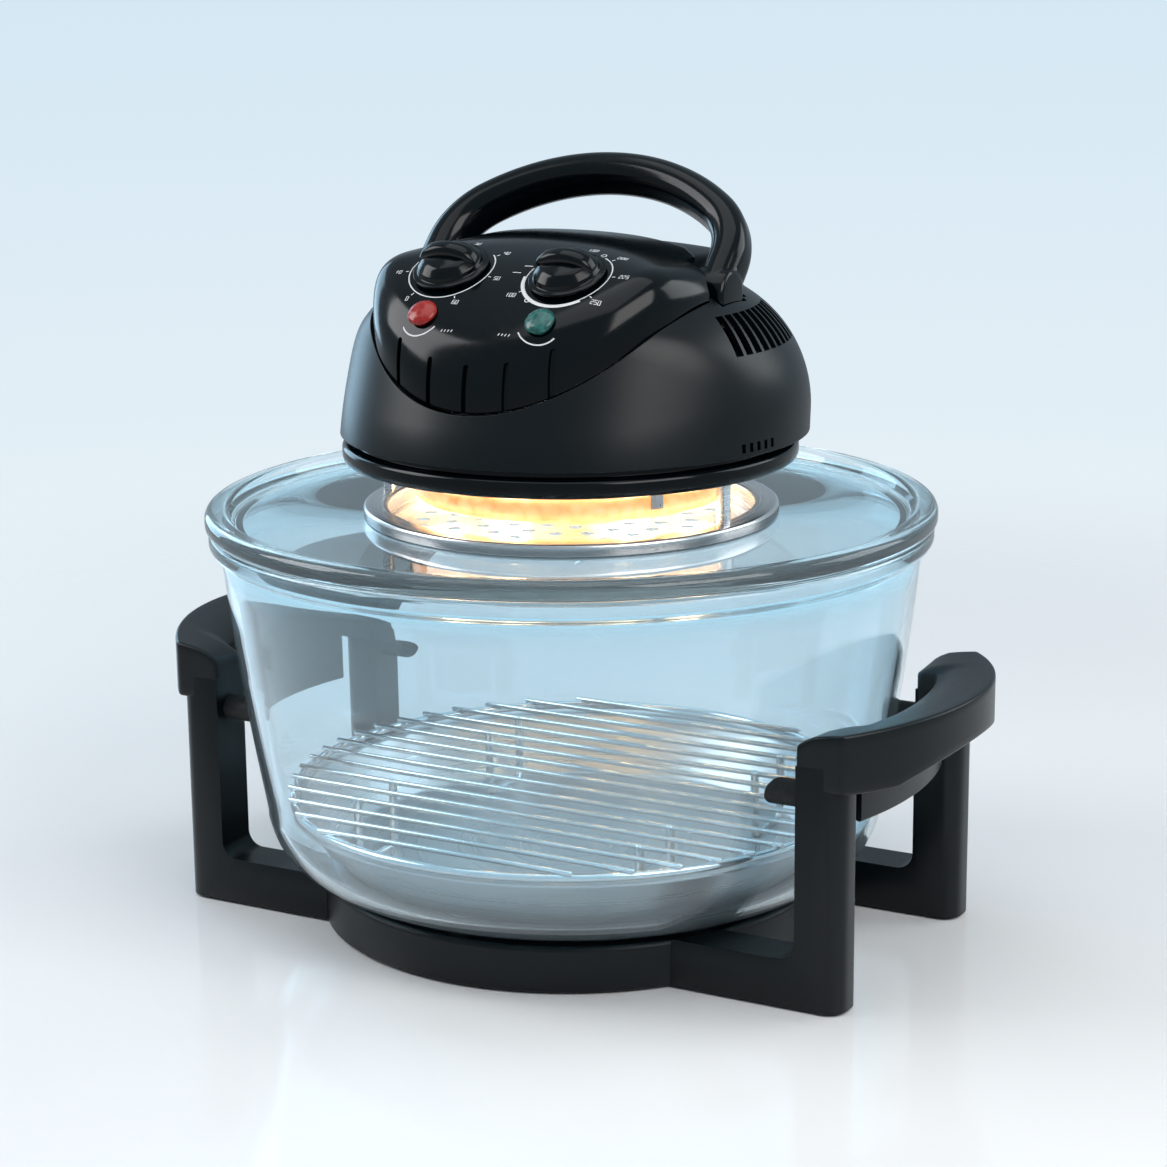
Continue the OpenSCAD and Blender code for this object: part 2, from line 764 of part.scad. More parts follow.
// Places of the posts that carry the head.
module strut_places() {
    for (a = strut_angles) {
        rotate([0, 0, a]) translate([strut_r, 0, 0]) children();
    }
}

module head_posts() color([0.7, 0.71, 0.73]) {
    strut_places() translate([0, 0, clamp_top + seat_gap]) difference() {
        translate([-strut_w / 2, -strut_w / 2, 0]) cube([strut_w, strut_w, heater_gap - 2 * seat_gap]);
        translate([0, 0, -eps]) cylinder(d = post_screw_d + 2 * seat_gap, h = far);
    }
}

module post_screws() color([0.6, 0.6, 0.62]) {
    strut_places() translate([0, 0, clamp_top - clamp_t - seat_gap - screw_head_h])
        rotate([180, 0, 0]) screw(10, post_screw_d);
    strut_places() translate([0, 0, post_seat_z + seat_gap + screw_head_h]) screw(14, post_screw_d);
}

// ---------- heater ----------

module halogen_lamp() color([1, 0.8, 0.4]) {
    translate([0, 0, lamp_z]) rotate([0, 0, 90 + (360 - lamp_sweep) / 2])
        rotate_extrude(angle = lamp_sweep) translate([lamp_ring_r, 0]) circle(d = lamp_tube_d, $fn = 32);
}

module lamp_end_caps() color([0.92, 0.9, 0.85]) {
    cap_w = lamp_tube_d + 4;
    cap_l = 10;
    for (s = [-1, 1]) {
        translate([0, 0, lamp_z]) rotate([0, 0, 90 + s * (360 - lamp_sweep) / 2])
            translate([lamp_ring_r - cap_w / 2, s > 0 ? -cap_l - seat_gap : seat_gap, -cap_w / 2])
            cube([cap_w, cap_l, reflector_z - reflector_drop - lamp_z + cap_w / 2 - seat_gap]);
    }
}

module lamp_clips() color([0.7, 0.7, 0.7]) {
    clip_t = 1;
    clip_w = 6;
    clip_in_r = lamp_ring_r - lamp_tube_d / 2 - clip_t - seat_gap;
    for (a = [-150, -30, 30, 150]) {
        rotate([0, 0, a]) translate([clip_in_r, -clip_w / 2, lamp_z])
            difference() {
                cube([lamp_tube_d + 2 * clip_t + 2 * seat_gap, clip_w,
                    reflector_z - reflector_drop - lamp_z - seat_gap]);
                translate([clip_t, -eps, -eps])
                    cube([lamp_tube_d + 2 * seat_gap, clip_w + 2 * eps, lamp_tube_d / 2 + seat_gap + eps]);
            }
    }
}

module reflector() color([0.85, 0.85, 0.86]) {
    slope = 6;
    hole = shaft_d + 6;
    rim_r = strut_r - strut_w / 2 - 1.2;
    difference() {
        rotate_extrude() polygon([
            [hole, reflector_z - reflector_drop], [rim_r - slope, reflector_z - reflector_drop],
            [rim_r, reflector_z], [reflector_r, reflector_z], [reflector_r, post_seat_z],
            [rim_r - 0.4, post_seat_z],
            [rim_r - slope - 0.4, reflector_z - reflector_drop + reflector_t],
            [hole, reflector_z - reflector_drop + reflector_t]
        ]);
        strut_places() translate([0, 0, reflector_z - 1]) cylinder(d = post_screw_d + 2 * seat_gap, h = 4);
    }
}

// ---------- head ----------

module collar() color([0.05, 0.055, 0.06]) {
    edge = 2;
    lip_r = strut_r - strut_w / 2 - 1;
    neck_top = collar_top + shadow_gap + 5;
    neck_in = neck_r - 3;
    difference() {
        rotate_extrude($fn = 180) polygon([
            [lip_r, collar_z], [collar_r - edge, collar_z], [collar_r, collar_z + edge],
            [collar_r, collar_top - edge], [collar_r - edge, collar_top], [neck_r, collar_top],
            [neck_r, neck_top], [neck_in, neck_top], [neck_in, collar_top],
            [reflector_r + seat_gap, collar_top], [reflector_r + seat_gap, reflector_z - seat_gap],
            [lip_r, reflector_z - seat_gap]
        ]);
        strut_places() translate([0, 0, collar_z - 1]) cylinder(d = post_screw_d + 2 * seat_gap, h = 6);
    }
}

module heat_shield() color([0.7, 0.7, 0.7]) {
    vent_l = 16;
    difference() {
        translate([0, 0, collar_top + seat_gap]) cylinder(r = shield_r, h = shield_t);
        translate([0, 0, collar_z]) cylinder(d = shaft_d + 6, h = far);
        for (a = [0 : 30 : 330]) {
            rotate([0, 0, a]) translate([60, -2, collar_z]) cube([vent_l, 4, far]);
        }
    }
}

// Points of the dome's section, inset by a wall, from its foot to its top, with the foot at 0.
function dome_section(t) = concat(
    [[0, dome_foot], [dome_r - t, dome_foot], [dome_r - t, dome_wall_h]],
    [for (k = [1 : 9]) [
        dome_r - dome_curve_r + (dome_curve_r - t) * cos(curve_end * k / 9),
        dome_wall_h + (dome_curve_r - t) * sin(curve_end * k / 9)
    ]],
    [for (k = [1 : 3]) [
        shoulder_c + (shoulder_r - t) * cos(curve_end + (90 - curve_end) * k / 3),
        dome_h - shoulder_r + (shoulder_r - t) * sin(curve_end + (90 - curve_end) * k / 3)
    ]],
    [[0, dome_h - t]]
);

// The housing's body: a dome that leans back a little, whose front is a drum that leans back more.
module dome(t) {
    intersection() {
        translate([0, dome_back, foot_z]) rotate([-dome_lean, 0, 0]) rotate_extrude($fn = 180)
            polygon(dome_section(t));
        translate([0, dome_back + drum_back, foot_z]) rotate([-front_lean, 0, 0])
            cylinder(r = drum_r - t, h = far, center = true, $fn = 180);
        translate([-far / 2, -far / 2, foot_z - (t > 0 ? 1 : 0)]) cube(far);
    }
}

// A long cylinder along X that gives the crown its fore-and-aft curve.
module crown_long(t) {
    translate([0, crown_y, crown_z - panel_curve_r]) x_rod(-far / 2, far / 2, panel_curve_r - t, $fn = 180);
}

// A long cylinder along Y that gives the crown its side-to-side curve.
module crown_cross(t) {
    translate([0, far / 2, crown_z - crown_curve_r]) rotate([90, 0, 0])
        cylinder(r = crown_curve_r - t, h = far, $fn = 180);
}

// Everything above the panel's lower edge and in front of its rear edge, grown by a gap.
module panel_zone(gap) {
    intersection() {
        translate([0, far / 2, lip_z + seam_r]) rotate([90, 0, 0])
            cylinder(r = seam_r + gap, h = far, $fn = 180);
        translate([0, 0, foot_z]) linear_extrude(far) polygon([
            [-far / 2, side_cut_y + gap], [-side_cut_x, side_cut_y + gap], [-back_cut_x, back_cut_y + gap],
            [back_cut_x, back_cut_y + gap], [side_cut_x, side_cut_y + gap], [far / 2, side_cut_y + gap],
            [far / 2, -far / 2], [-far / 2, -far / 2]
        ]);
    }
}

// The panel's solid form, inset by a wall.
module panel_form(t) {
    intersection() {
        translate([0, panel_front_r - panel_reach, foot_z])
            cylinder(r = panel_front_r - t, h = far, $fn = 180);
        translate([panel_half - panel_side_r, panel_side_y, foot_z])
            cylinder(r = panel_side_r - t, h = far, $fn = 180);
        translate([panel_side_r - panel_half, panel_side_y, foot_z])
            cylinder(r = panel_side_r - t, h = far, $fn = 180);
        crown_long(t);
        crown_cross(t);
    }
}

// The hump behind the panel, inset by a wall.
module hump_form(t) {
    intersection() {
        crown_long(head_wall + hump_gap + t);
        crown_cross(head_wall + hump_gap + t);
        translate([-hump_half + t, hump_front + t, pivot_z - 16]) cube([2 * (hump_half - t), 100, far]);
        translate([0, pivot_y, pivot_z]) x_rod(-far / 2, far / 2, hump_back_r - t);
    }
}

// Rows of cooling slots: side louvres, top slots and foot slots.
module housing_vents() {
    for (k = [0 : louvre_count - 1]) {
        both_sides() translate([0, dome_back, 0]) rotate([0, 0, louvre_start + louvre_step * k])
            translate([louvre_in_r, -louvre_w / 2, louvre_z]) cube([far, louvre_w, louvre_h]);
    }
    for (k = [-6 : 6]) {
        translate([6 * k - vent_w / 2, 14, crown_z - 30]) cube([vent_w, 18, 60]);
    }
    for (k = [0 : 4]) {
        both_sides() translate([0, dome_back, 0]) rotate([0, 0, 2.6 * k - 18])
            translate([dome_r - 20, -vent_w / 2, foot_z + 2]) cube([40, vent_w, 4]);
    }
}

// The flat seat of the mains inlet, at the back.
module inlet_seat() {
    translate([-inlet_hole_w / 2 - inlet_pad, inlet_face_y - 15, inlet_z - inlet_hole_h / 2 - inlet_pad])
        cube([inlet_hole_w + 2 * inlet_pad, 15, inlet_hole_h + 2 * inlet_pad]);
}

module housing() color([0.05, 0.055, 0.065]) {
    difference() {
        union() {
            difference() {
                dome(0);
                panel_zone(panel_gap);
            }
            hump_form(0);
            pin_bosses(hump_half - 10);
            inlet_seat();
        }
        difference() {
            union() {
                dome(head_wall);
                hump_form(head_wall);
            }
            housing_ribs();
        }
        handle_wells();
        both_sides() translate([0, pivot_y, pivot_z])
            x_rod(pocket_in - pin_seat, pocket_in + eps, pin_d / 2);
        housing_vents();
        translate([-inlet_hole_w / 2, dome_back + dome_r - 40, inlet_z - inlet_hole_h / 2])
            cube([inlet_hole_w, 80, inlet_hole_h]);
        both_sides() plunger_place() cylinder(d = 5, h = 40, center = true);
        screw_bosses() translate([0, 0, -eps]) cylinder(d = screw_d - 1, h = 16);
    }
}

// Room for the handle's feet, and for its legs both upright and down.
module handle_wells() {
    both_sides() {
        translate([0, pivot_y, pivot_z]) x_rod(pocket_in, pocket_out, pocket_r);
        translate([pocket_in, pivot_y - pocket_r, pivot_z]) cube([pocket_w, 2 * pocket_r, far]);
        translate([pocket_in + leg_inset, pivot_y, pivot_z - leg_room_down])
            cube([pocket_w - 2 * leg_inset, leg_room_back, far]);
    }
}

// Bosses that hold the handle's pins, from a place out to the handle's feet.
module pin_bosses(x0) {
    both_sides() translate([0, pivot_y, pivot_z]) x_rod(x0, pocket_in, boss_r);
}

// What stays solid inside the housing: walls of the handle's wells, pin bosses and screw bosses.
module housing_ribs() {
    both_sides() {
        translate([0, pivot_y, pivot_z])
            x_rod(pocket_in - well_wall, pocket_out + well_wall, pocket_r + well_wall);
        translate([pocket_in - well_wall + leg_inset, pivot_y, pivot_z - leg_room_down - well_wall])
            cube([pocket_w + 2 * (well_wall - leg_inset), leg_room_back + well_wall, 20]);
    }
    pin_bosses(pocket_in - pin_seat - 2);
    screw_bosses() cylinder(d = 8, h = 24);
    screw_bosses() translate([0, -1.5, 0]) cube([30, 3, 24]);
}

// Places of the screws that join the housing to the collar.
module screw_bosses() {
    for (a = [30, 150, 215, 325]) {
        rotate([0, 0, a]) translate([neck_r - 8, 0, foot_z + 6]) children();
    }
}

module housing_screws() color([0.6, 0.6, 0.62]) {
    screw_bosses() translate([0, 0, -5.5]) rotate([180, 0, 0]) screw(16, screw_d - 1);
}

module control_panel() color([0.02, 0.025, 0.03]) {
    groove_depth = 1.2;
    difference() {
        intersection() {
            difference() {
                panel_form(0);
                panel_form(head_wall);
            }
            panel_zone(0);
        }
        for (k = [-(groove_count - 1) / 2 : (groove_count - 1) / 2]) {
            x = groove_pitch * k;
            low = lip_z + seam_r - sqrt(pow(seam_r, 2) - pow(x, 2));
            front = panel_reach - panel_front_r + sqrt(pow(panel_front_r, 2) - pow(x, 2));
            translate([x - groove_w / 2, -front - 10, low - 1])
                cube([groove_w, 10 + groove_depth, groove_h + 1]);
        }
        for (s = [-1, 1]) {
            on_panel(s * knob_x, knob_y, knob_face_z, knob_tilt)
                cylinder(d = spindle_d + 1, h = 30, center = true);
            on_panel(s * knob_x, lens_y, lens_face_z, lens_tilt)
                cylinder(r = lens_r - 1 + seat_gap, h = 30, center = true);
        }
        both_sides() translate([pocket_in, pivot_y - pocket_r, pivot_z - 24])
            cube([pocket_w, 2 * pocket_r, far]);
        both_sides() translate([0, pivot_y, pivot_z]) x_rod(pocket_in - 3, pocket_out, pocket_r);
    }
}

// ---------- controls ----------

// A knob: a low skirt, a dome and a bar to turn it by.
module knob() {
    skirt_h = 3;
    fin_w = 9;
    difference() {
        union() {
            cylinder(r = knob_r, h = skirt_h);
            translate([0, 0, skirt_h]) intersection() {
                cylinder(r1 = knob_r - 1, r2 = knob_r - 6, h = knob_h * 0.4);
                cylinder(r = knob_r - 1.5, h = knob_h);
            }
            intersection() {
                translate([-knob_r + 1, -fin_w / 2, 0]) cube([2 * knob_r - 2, fin_w, knob_h]);
                translate([0, fin_w, knob_h - 1.6 * knob_r]) rotate([90, 0, 0])
                    cylinder(r = 1.6 * knob_r, h = 2 * fin_w);
                cylinder(r = knob_r - 0.5, h = knob_h);
            }
        }
        translate([0, 0, -eps]) cylinder(d = spindle_d + 2 * seat_gap, h = spindle_up + seat_gap);
    }
}

module temperature_knob() color([0.04, 0.04, 0.05]) on_knob(1) knob();
module timer_knob() color([0.04, 0.04, 0.05]) on_knob(-1) knob();

// A knob's place, with its skirt just clear of the panel.
module on_knob(s) {
    on_panel(s * knob_x, knob_y, knob_face_z, knob_tilt) translate([0, 0, knob_lift]) children();
}

module spindle() {
    below = control_drop + 14;
    translate([0, 0, -below]) cylinder(d = spindle_d, h = below + spindle_up);
}

module temperature_spindle() color([0.8, 0.75, 0.5]) on_knob(1) spindle();
module timer_spindle() color([0.8, 0.75, 0.5]) on_knob(-1) spindle();

// Neck of a control, up to just below the panel.
module control_neck() {
    translate([0, 0, -control_drop - eps]) cylinder(d = spindle_d + 5, h = control_drop - head_wall - 2);
}

// Bore of a control, for its spindle.
module spindle_bore() {
    translate([0, 0, -control_drop - 20]) cylinder(d = spindle_d + 2 * run_gap, h = 60);
}

module thermostat() color([0.85, 0.82, 0.75]) on_knob(1) difference() {
    union() {
        translate([-control_w / 2, -control_w / 2, -control_drop - control_h])
            cube([control_w, control_w, control_h]);
        control_neck();
    }
    spindle_bore();
}

module timer() color([0.8, 0.8, 0.82]) on_knob(-1) difference() {
    union() {
        translate([0, 0, -control_drop - control_h]) cylinder(d = control_w, h = control_h);
        control_neck();
    }
    spindle_bore();
}

module timer_bell() color([0.85, 0.8, 0.6]) on_knob(-1) {
    bell_h = 6;
    translate([0, 0, -control_drop - control_h - bell_h - seat_gap]) difference() {
        cylinder(r1 = 12, r2 = 15, h = bell_h);
        translate([0, 0, 1]) cylinder(r1 = 11.2, r2 = 14.2, h = bell_h);
        cylinder(d = 3, h = 1, center = true);
    }
    translate([0, 0, -control_drop - control_h - bell_h]) cylinder(d = 4, h = bell_h - seat_gap);
}

// A lamp lens: a flat dome outside, with a stem through the panel.
module lens(s) {
    dome_rise = 3;
    ball_r = (pow(lens_r, 2) + pow(dome_rise, 2)) / (2 * dome_rise);
    on_panel(s * knob_x, lens_y, lens_face_z, lens_tilt) translate([0, 0, 0.5]) {
        intersection() {
            translate([0, 0, dome_rise + 0.6 - ball_r]) sphere(r = ball_r);
            cylinder(r = lens_r, h = dome_rise + 1);
        }
        translate([0, 0, -head_wall - 2]) cylinder(r = lens_r - 1, h = head_wall + 2 + eps);
    }
}

module red_lens() color([0.75, 0.05, 0.04]) lens(-1);
module green_lens() color([0.05, 0.42, 0.35]) lens(1);

module neon_lamps() color([1, 0.6, 0.3]) {
    for (s = [-1, 1]) {
        on_panel(s * knob_x, lens_y, lens_face_z, lens_tilt)
            translate([0, 0, 0.5 - head_wall - 2 - seat_gap - 12]) cylinder(d = 6, h = 12);
    }
}

// ---------- handle ----------

// Section of the handle's bar: thickness along X, width along Y.
module bar_section(proud = 0) {
    side = (bar_w - bar_t) / 2;
    r = bar_t / 2 + proud;
    translate([0, side]) circle(r = r, $fn = 48);
    translate([0, -side]) circle(r = r, $fn = 48);
    translate([-r, -side]) square([2 * r, 2 * side]);
}

// The lobe under a foot that holds the safety plunger down while the handle is down.
module cam() {
    steps = 8;
    points = [for (k = [0 : steps]) (foot_r + cam_rise * k / steps) * [
        cos(-90 + handle_lean - handle_travel * (1 - k / steps)),
        sin(-90 + handle_lean - handle_travel * (1 - k / steps))
    ]];
    tail = -90 + handle_lean + 12;
    translate([handle_half - 4, 0, 0]) rotate([90, 0, 90]) linear_extrude(8)
        polygon(concat([[0, 0]], points, [(foot_r + cam_rise) * [cos(tail), sin(tail)]]));
}

module handle() color([0.03, 0.035, 0.04]) on_pivot() {
    difference() {
        union() {
            both_sides() {
                translate([handle_half, 0, 0]) linear_extrude(handle_leg + eps) bar_section();
                x_rod(handle_half - foot_half, handle_half + foot_half, foot_r);
                cam();
                translate([handle_half - handle_corner_r, 0, handle_leg]) rotate([90, 0, 0])
                    rotate_extrude(angle = 90 - bow_angle) translate([handle_corner_r, 0]) bar_section();
            }
            translate([0, 0, handle_leg + bow_c]) rotate([90, 0, 0])
                rotate([0, 0, 90 - bow_angle - bow_lap])
                rotate_extrude(angle = 2 * (bow_angle + bow_lap), $fn = 180)
                translate([bow_r, 0]) bar_section(0.1);
        }
        both_sides() x_rod(pocket_in - 1, handle_half + bar_t / 2 - 2.5, pin_d / 2 + run_gap);
    }
}

module handle_pins() color([0.75, 0.75, 0.76]) {
    both_sides() translate([0, pivot_y, pivot_z])
        x_rod(pocket_in - pin_seat + seat_gap, handle_half + bar_t / 2 - 3, pin_d / 2);
}

// Axis of the safety plunger, under the handle's feet.
module plunger_place() {
    translate([handle_half, pivot_y, pivot_z - foot_r - cam_rise - cam_gap]) children();
}

module safety_plunger() color([0.85, 0.83, 0.78]) plunger_place() {
    translate([0, 0, -14]) cylinder(d = 4.4, h = 14);
    translate([0, 0, -9]) cylinder(d = 7, h = 1.5);
}

module safety_switch() color([0.1, 0.1, 0.1]) plunger_place() {
    difference() {
        translate([-7, -10, -30]) cube([14, 20, 16]);
        translate([0, 0, -20]) cylinder(d = 4.4 + 2 * run_gap, h = 10);
    }
    translate([-7, -10, -14 - eps]) cube([2, 20, 11.2]);
}

// ---------- motor ----------

module motor_stator() color([0.5, 0.5, 0.52]) {
    translate([0, 0, stator_z]) difference() {
        translate([-stator_w / 2, -stator_w / 2, 0]) cube([stator_w, stator_w * 1.3, stator_h]);
        translate([0, 0, -eps]) cylinder(r = rotor_r + 0.6, h = far);
        translate([-stator_w / 2 + 14, rotor_r + 7, -eps]) cube([stator_w - 28, 16, far]);
        square_places(stack_post) translate([0, 0, -eps]) cylinder(d = post_rod_d + 2 * seat_gap, h = far);
    }
}

module motor_coil() color([0.75, 0.45, 0.2]) {
    hole = 16;
    coil_l = 24;
    coil_y = rotor_r + 7 + hole + seat_gap;
    core_w = stator_w * 0.8 - coil_y;
    translate([-coil_l / 2, coil_y - 6, stator_z - 6]) difference() {
        cube([coil_l, core_w + 12, stator_h + 12]);
        translate([-eps, 6 - seat_gap, 6 - seat_gap])
            cube([coil_l + 2 * eps, core_w + 2 * seat_gap, stator_h + 2 * seat_gap]);
    }
}

// Four places on a square, from its half side.
module square_places(half) {
    for (x = [-half, half]) {
        for (y = [-half, half]) {
            translate([x, y, 0]) children();
        }
    }
}

// A bearing bridge across the motor, out to a square of pillars, with a hole for its bearing.
module bridge(z, half) {
    bar = 9;
    reach = half * sqrt(2) + bar / 2;
    translate([0, 0, z]) difference() {
        union() {
            for (a = [45, -45]) {
                rotate([0, 0, a]) translate([-reach, -bar / 2, 0]) cube([2 * reach, bar, bridge_t]);
            }
            cylinder(d = bearing_d + 5, h = bridge_t);
        }
        translate([0, 0, -eps]) cylinder(d = bearing_d + 2 * seat_gap, h = bridge_t + 2 * eps);
        square_places(stack_post) translate([0, 0, -eps]) cylinder(d = post_rod_d + 2 * seat_gap, h = far);
        square_places(base_post) translate([0, 0, -eps]) cylinder(d = post_rod_d + 2 * seat_gap, h = far);
    }
}

module motor_bridges() color([0.75, 0.75, 0.76]) {
    bridge(bridge_low, base_post);
    bridge(bridge_high, stack_post);
}

module motor_bearings() color([0.7, 0.55, 0.3]) {
    for (z = [bridge_low, bridge_high]) {
        translate([0, 0, z]) difference() {
            union() {
                cylinder(d = bearing_d, h = bridge_t + 2);
                translate([0, 0, bridge_t + seat_gap]) cylinder(d = bearing_d + 3, h = 2 - seat_gap);
            }
            translate([0, 0, -eps]) cylinder(d = shaft_d + 2 * run_gap, h = bridge_t + 3);
        }
    }
}

module motor_pillars() color([0.7, 0.7, 0.72]) {
    base = collar_top + seat_gap + shield_t;
    under = bridge_low + bridge_t + seat_gap;
    over = stator_z + stator_h + seat_gap;
    nut_d = 7;
    nut_h = 3;
    square_places(base_post) {
        translate([0, 0, base]) cylinder(d = post_rod_d, h = under + nut_h - base);
        translate([0, 0, base]) cylinder(d = nut_d + 1, h = bridge_low - base - seat_gap);
        translate([0, 0, under]) cylinder(d = nut_d, h = nut_h);
    }
    square_places(stack_post) {
        translate([0, 0, bridge_low - nut_h])
            cylinder(d = post_rod_d, h = bridge_high + bridge_t + 2 * nut_h - bridge_low);
        translate([0, 0, bridge_low - nut_h - seat_gap]) cylinder(d = nut_d, h = nut_h);
        translate([0, 0, under]) cylinder(d = nut_d, h = stator_z - under - seat_gap);
        translate([0, 0, over]) cylinder(d = nut_d, h = bridge_high - over - seat_gap);
        translate([0, 0, bridge_high + bridge_t + seat_gap]) cylinder(d = nut_d, h = nut_h);
    }
}

module motor_rotor() color([0.6, 0.6, 0.6]) {
    ring(rotor_r, shaft_d / 2 + seat_gap / 2, stator_z, stator_h);
}

module motor_shaft() color([0.8, 0.8, 0.82]) {
    translate([0, 0, shaft_low]) cylinder(d = shaft_d, h = shaft_high - shaft_low);
}

// A fan with upright blades on a thin disc.
module fan(r, h, blades, disc_up) {
    disc_t = 1.2;
    blade_t = 1.2;
    hub_r = shaft_d / 2 + 4;
    blade_in = hub_r + 6;
    difference() {
        union() {
            cylinder(r = hub_r, h = h);
            translate([0, 0, disc_up ? h - disc_t : 0]) cylinder(r = r - 2, h = disc_t);
            for (k = [0 : blades - 1]) {
                rotate([0, 0, 360 * k / blades]) translate([blade_in, -blade_t / 2, 0])
                    cube([r - blade_in, blade_t, h]);
            }
        }
        translate([0, 0, -eps]) cylinder(d = shaft_d + seat_gap, h = h + 2 * eps);
    }
}

module cooling_fan() color([0.2, 0.2, 0.22]) translate([0, 0, fan_z]) fan(cooling_fan_r, fan_h, 12, false);
module hot_air_fan() color([0.75, 0.75, 0.76])
    translate([0, 0, hot_fan_z]) fan(hot_fan_r, hot_fan_h, 8, true);

module fan_nut() color([0.7, 0.7, 0.72]) {
    ring(6, shaft_d / 2 + seat_gap / 2, hot_fan_z - 4 - seat_gap, 4);
}

// ---------- electrics ----------

module terminal_block() color([0.9, 0.9, 0.88]) {
    translate([-56, 52, collar_top + shield_t + 2 * seat_gap]) difference() {
        cube([40, 16, 14]);
        for (k = [0 : 3]) {
            translate([5 + 10 * k, 8, 8]) cylinder(d = 4, h = 10);
        }
    }
}

module thermal_fuse() color([0.85, 0.8, 0.7]) {
    base = collar_top + shield_t + 2 * seat_gap;
    translate([30, 52, base]) cube([22, 7, 3]);
    translate([32, 55.5, base + 3 + 2.5]) x_rod(0, 18, 2.5);
    translate([36, 53.5, base + 3 - eps]) cube([10, 4, 2.5]);
}

module mains_inlet() color([0.06, 0.06, 0.06]) {
    body_w = inlet_hole_w - 2 * body_gap;
    body_h = inlet_hole_h - 2 * body_gap;
    flange = 3.5;
    flange_t = 2;
    front_y = inlet_face_y + seat_gap;
    depth = 28;
    wall = 3;
    translate([0, 0, inlet_z]) difference() {
        union() {
            translate([-body_w / 2, front_y - depth, -body_h / 2]) cube([body_w, depth, body_h]);
            translate([-body_w / 2 - flange, front_y, -body_h / 2 - flange])
                cube([body_w + 2 * flange, flange_t, body_h + 2 * flange]);
        }
        translate([-body_w / 2 + wall / 2, front_y + flange_t - 17, -body_h / 2 + wall / 2])
            cube([body_w - wall, 20, body_h - wall]);
        for (p = inlet_pin_places()) {
            translate([p[0] - 1.1, front_y - depth - 1, p[1] - 2.1]) cube([2.2, depth, 4.2]);
        }
    }
}

// Places of the inlet's three pins, as X and Z from its centre.
function inlet_pin_places() = [[-7, -2], [7, -2], [0, 3]];

module inlet_pins() color([0.8, 0.75, 0.5]) {
    front_y = inlet_face_y + seat_gap;
    for (p = inlet_pin_places()) {
        translate([p[0] - 1, front_y - 34, inlet_z + p[1] - 2]) cube([2, 30, 4]);
    }
}

base_ring();
bowl_pads();
leg_front_right();
leg_rear_right();
leg_front_left();
leg_rear_left();
grip_right();
grip_left();
steady_buttons();
button_screws();
stand_screws();
foot_plugs();
glass_bowl();
drip_tray();
wire_rack();
glass_lid();
lid_seal();
clamp_ring_upper();
clamp_ring_lower();
guard_plate();
head_posts();
post_screws();
halogen_lamp();
lamp_end_caps();
lamp_clips();
reflector();
collar();
heat_shield();
housing();
control_panel();
housing_screws();
thermostat();
timer();
timer_bell();
red_lens();
green_lens();
neon_lamps();
temperature_knob();
temperature_spindle();
timer_knob();
timer_spindle();
handle();
handle_pins();
safety_switch();
safety_plunger();
motor_stator();
motor_coil();
motor_bridges();
motor_bearings();
motor_pillars();
motor_rotor();
motor_shaft();
cooling_fan();
hot_air_fan();
fan_nut();
terminal_block();
thermal_fuse();
mains_inlet();
inlet_pins();
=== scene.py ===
"""Halogen oven: a glass bowl in a two-grip stand, with a glass lid that carries the heater head.

Sizes are in millimetres and become metres when a mesh is made. The origin is on the worktop below
the bowl's centre, +Z is up, the grips lie on +X and -X and the control panel faces -Y.
"""

import json
import logging
import math
from dataclasses import dataclass, field
from enum import Enum
from typing import Callable, Optional, Sequence

import bmesh
import bpy
import numpy as np
from mathutils import Matrix, Vector

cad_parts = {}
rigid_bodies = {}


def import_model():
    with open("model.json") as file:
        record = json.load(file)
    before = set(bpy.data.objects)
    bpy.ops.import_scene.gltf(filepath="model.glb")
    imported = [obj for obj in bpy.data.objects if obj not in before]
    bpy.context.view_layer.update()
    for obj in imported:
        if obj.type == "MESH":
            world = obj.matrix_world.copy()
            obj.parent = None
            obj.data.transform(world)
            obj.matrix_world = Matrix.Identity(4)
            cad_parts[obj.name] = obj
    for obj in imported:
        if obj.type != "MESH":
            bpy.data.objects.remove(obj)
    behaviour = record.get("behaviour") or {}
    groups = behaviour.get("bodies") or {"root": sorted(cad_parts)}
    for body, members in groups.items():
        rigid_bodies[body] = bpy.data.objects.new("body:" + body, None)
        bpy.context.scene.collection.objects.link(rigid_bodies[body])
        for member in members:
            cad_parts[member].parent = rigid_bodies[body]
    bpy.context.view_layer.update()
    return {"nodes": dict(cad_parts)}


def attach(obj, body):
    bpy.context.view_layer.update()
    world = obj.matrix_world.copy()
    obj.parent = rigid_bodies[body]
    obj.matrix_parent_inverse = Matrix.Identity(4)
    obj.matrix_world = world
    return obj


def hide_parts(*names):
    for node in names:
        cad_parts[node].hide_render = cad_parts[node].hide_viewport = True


LOG = logging.getLogger("halogen_oven")
Array = np.ndarray
Distance = Callable[[Array], Array]
Piece = bpy.types.Object
Colour = tuple[float, float, float]

MM = 0.001
TURN = 2.0 * math.pi
SEAT_GAP = 0.1


# ---------------------------------------------------------------- surfaces


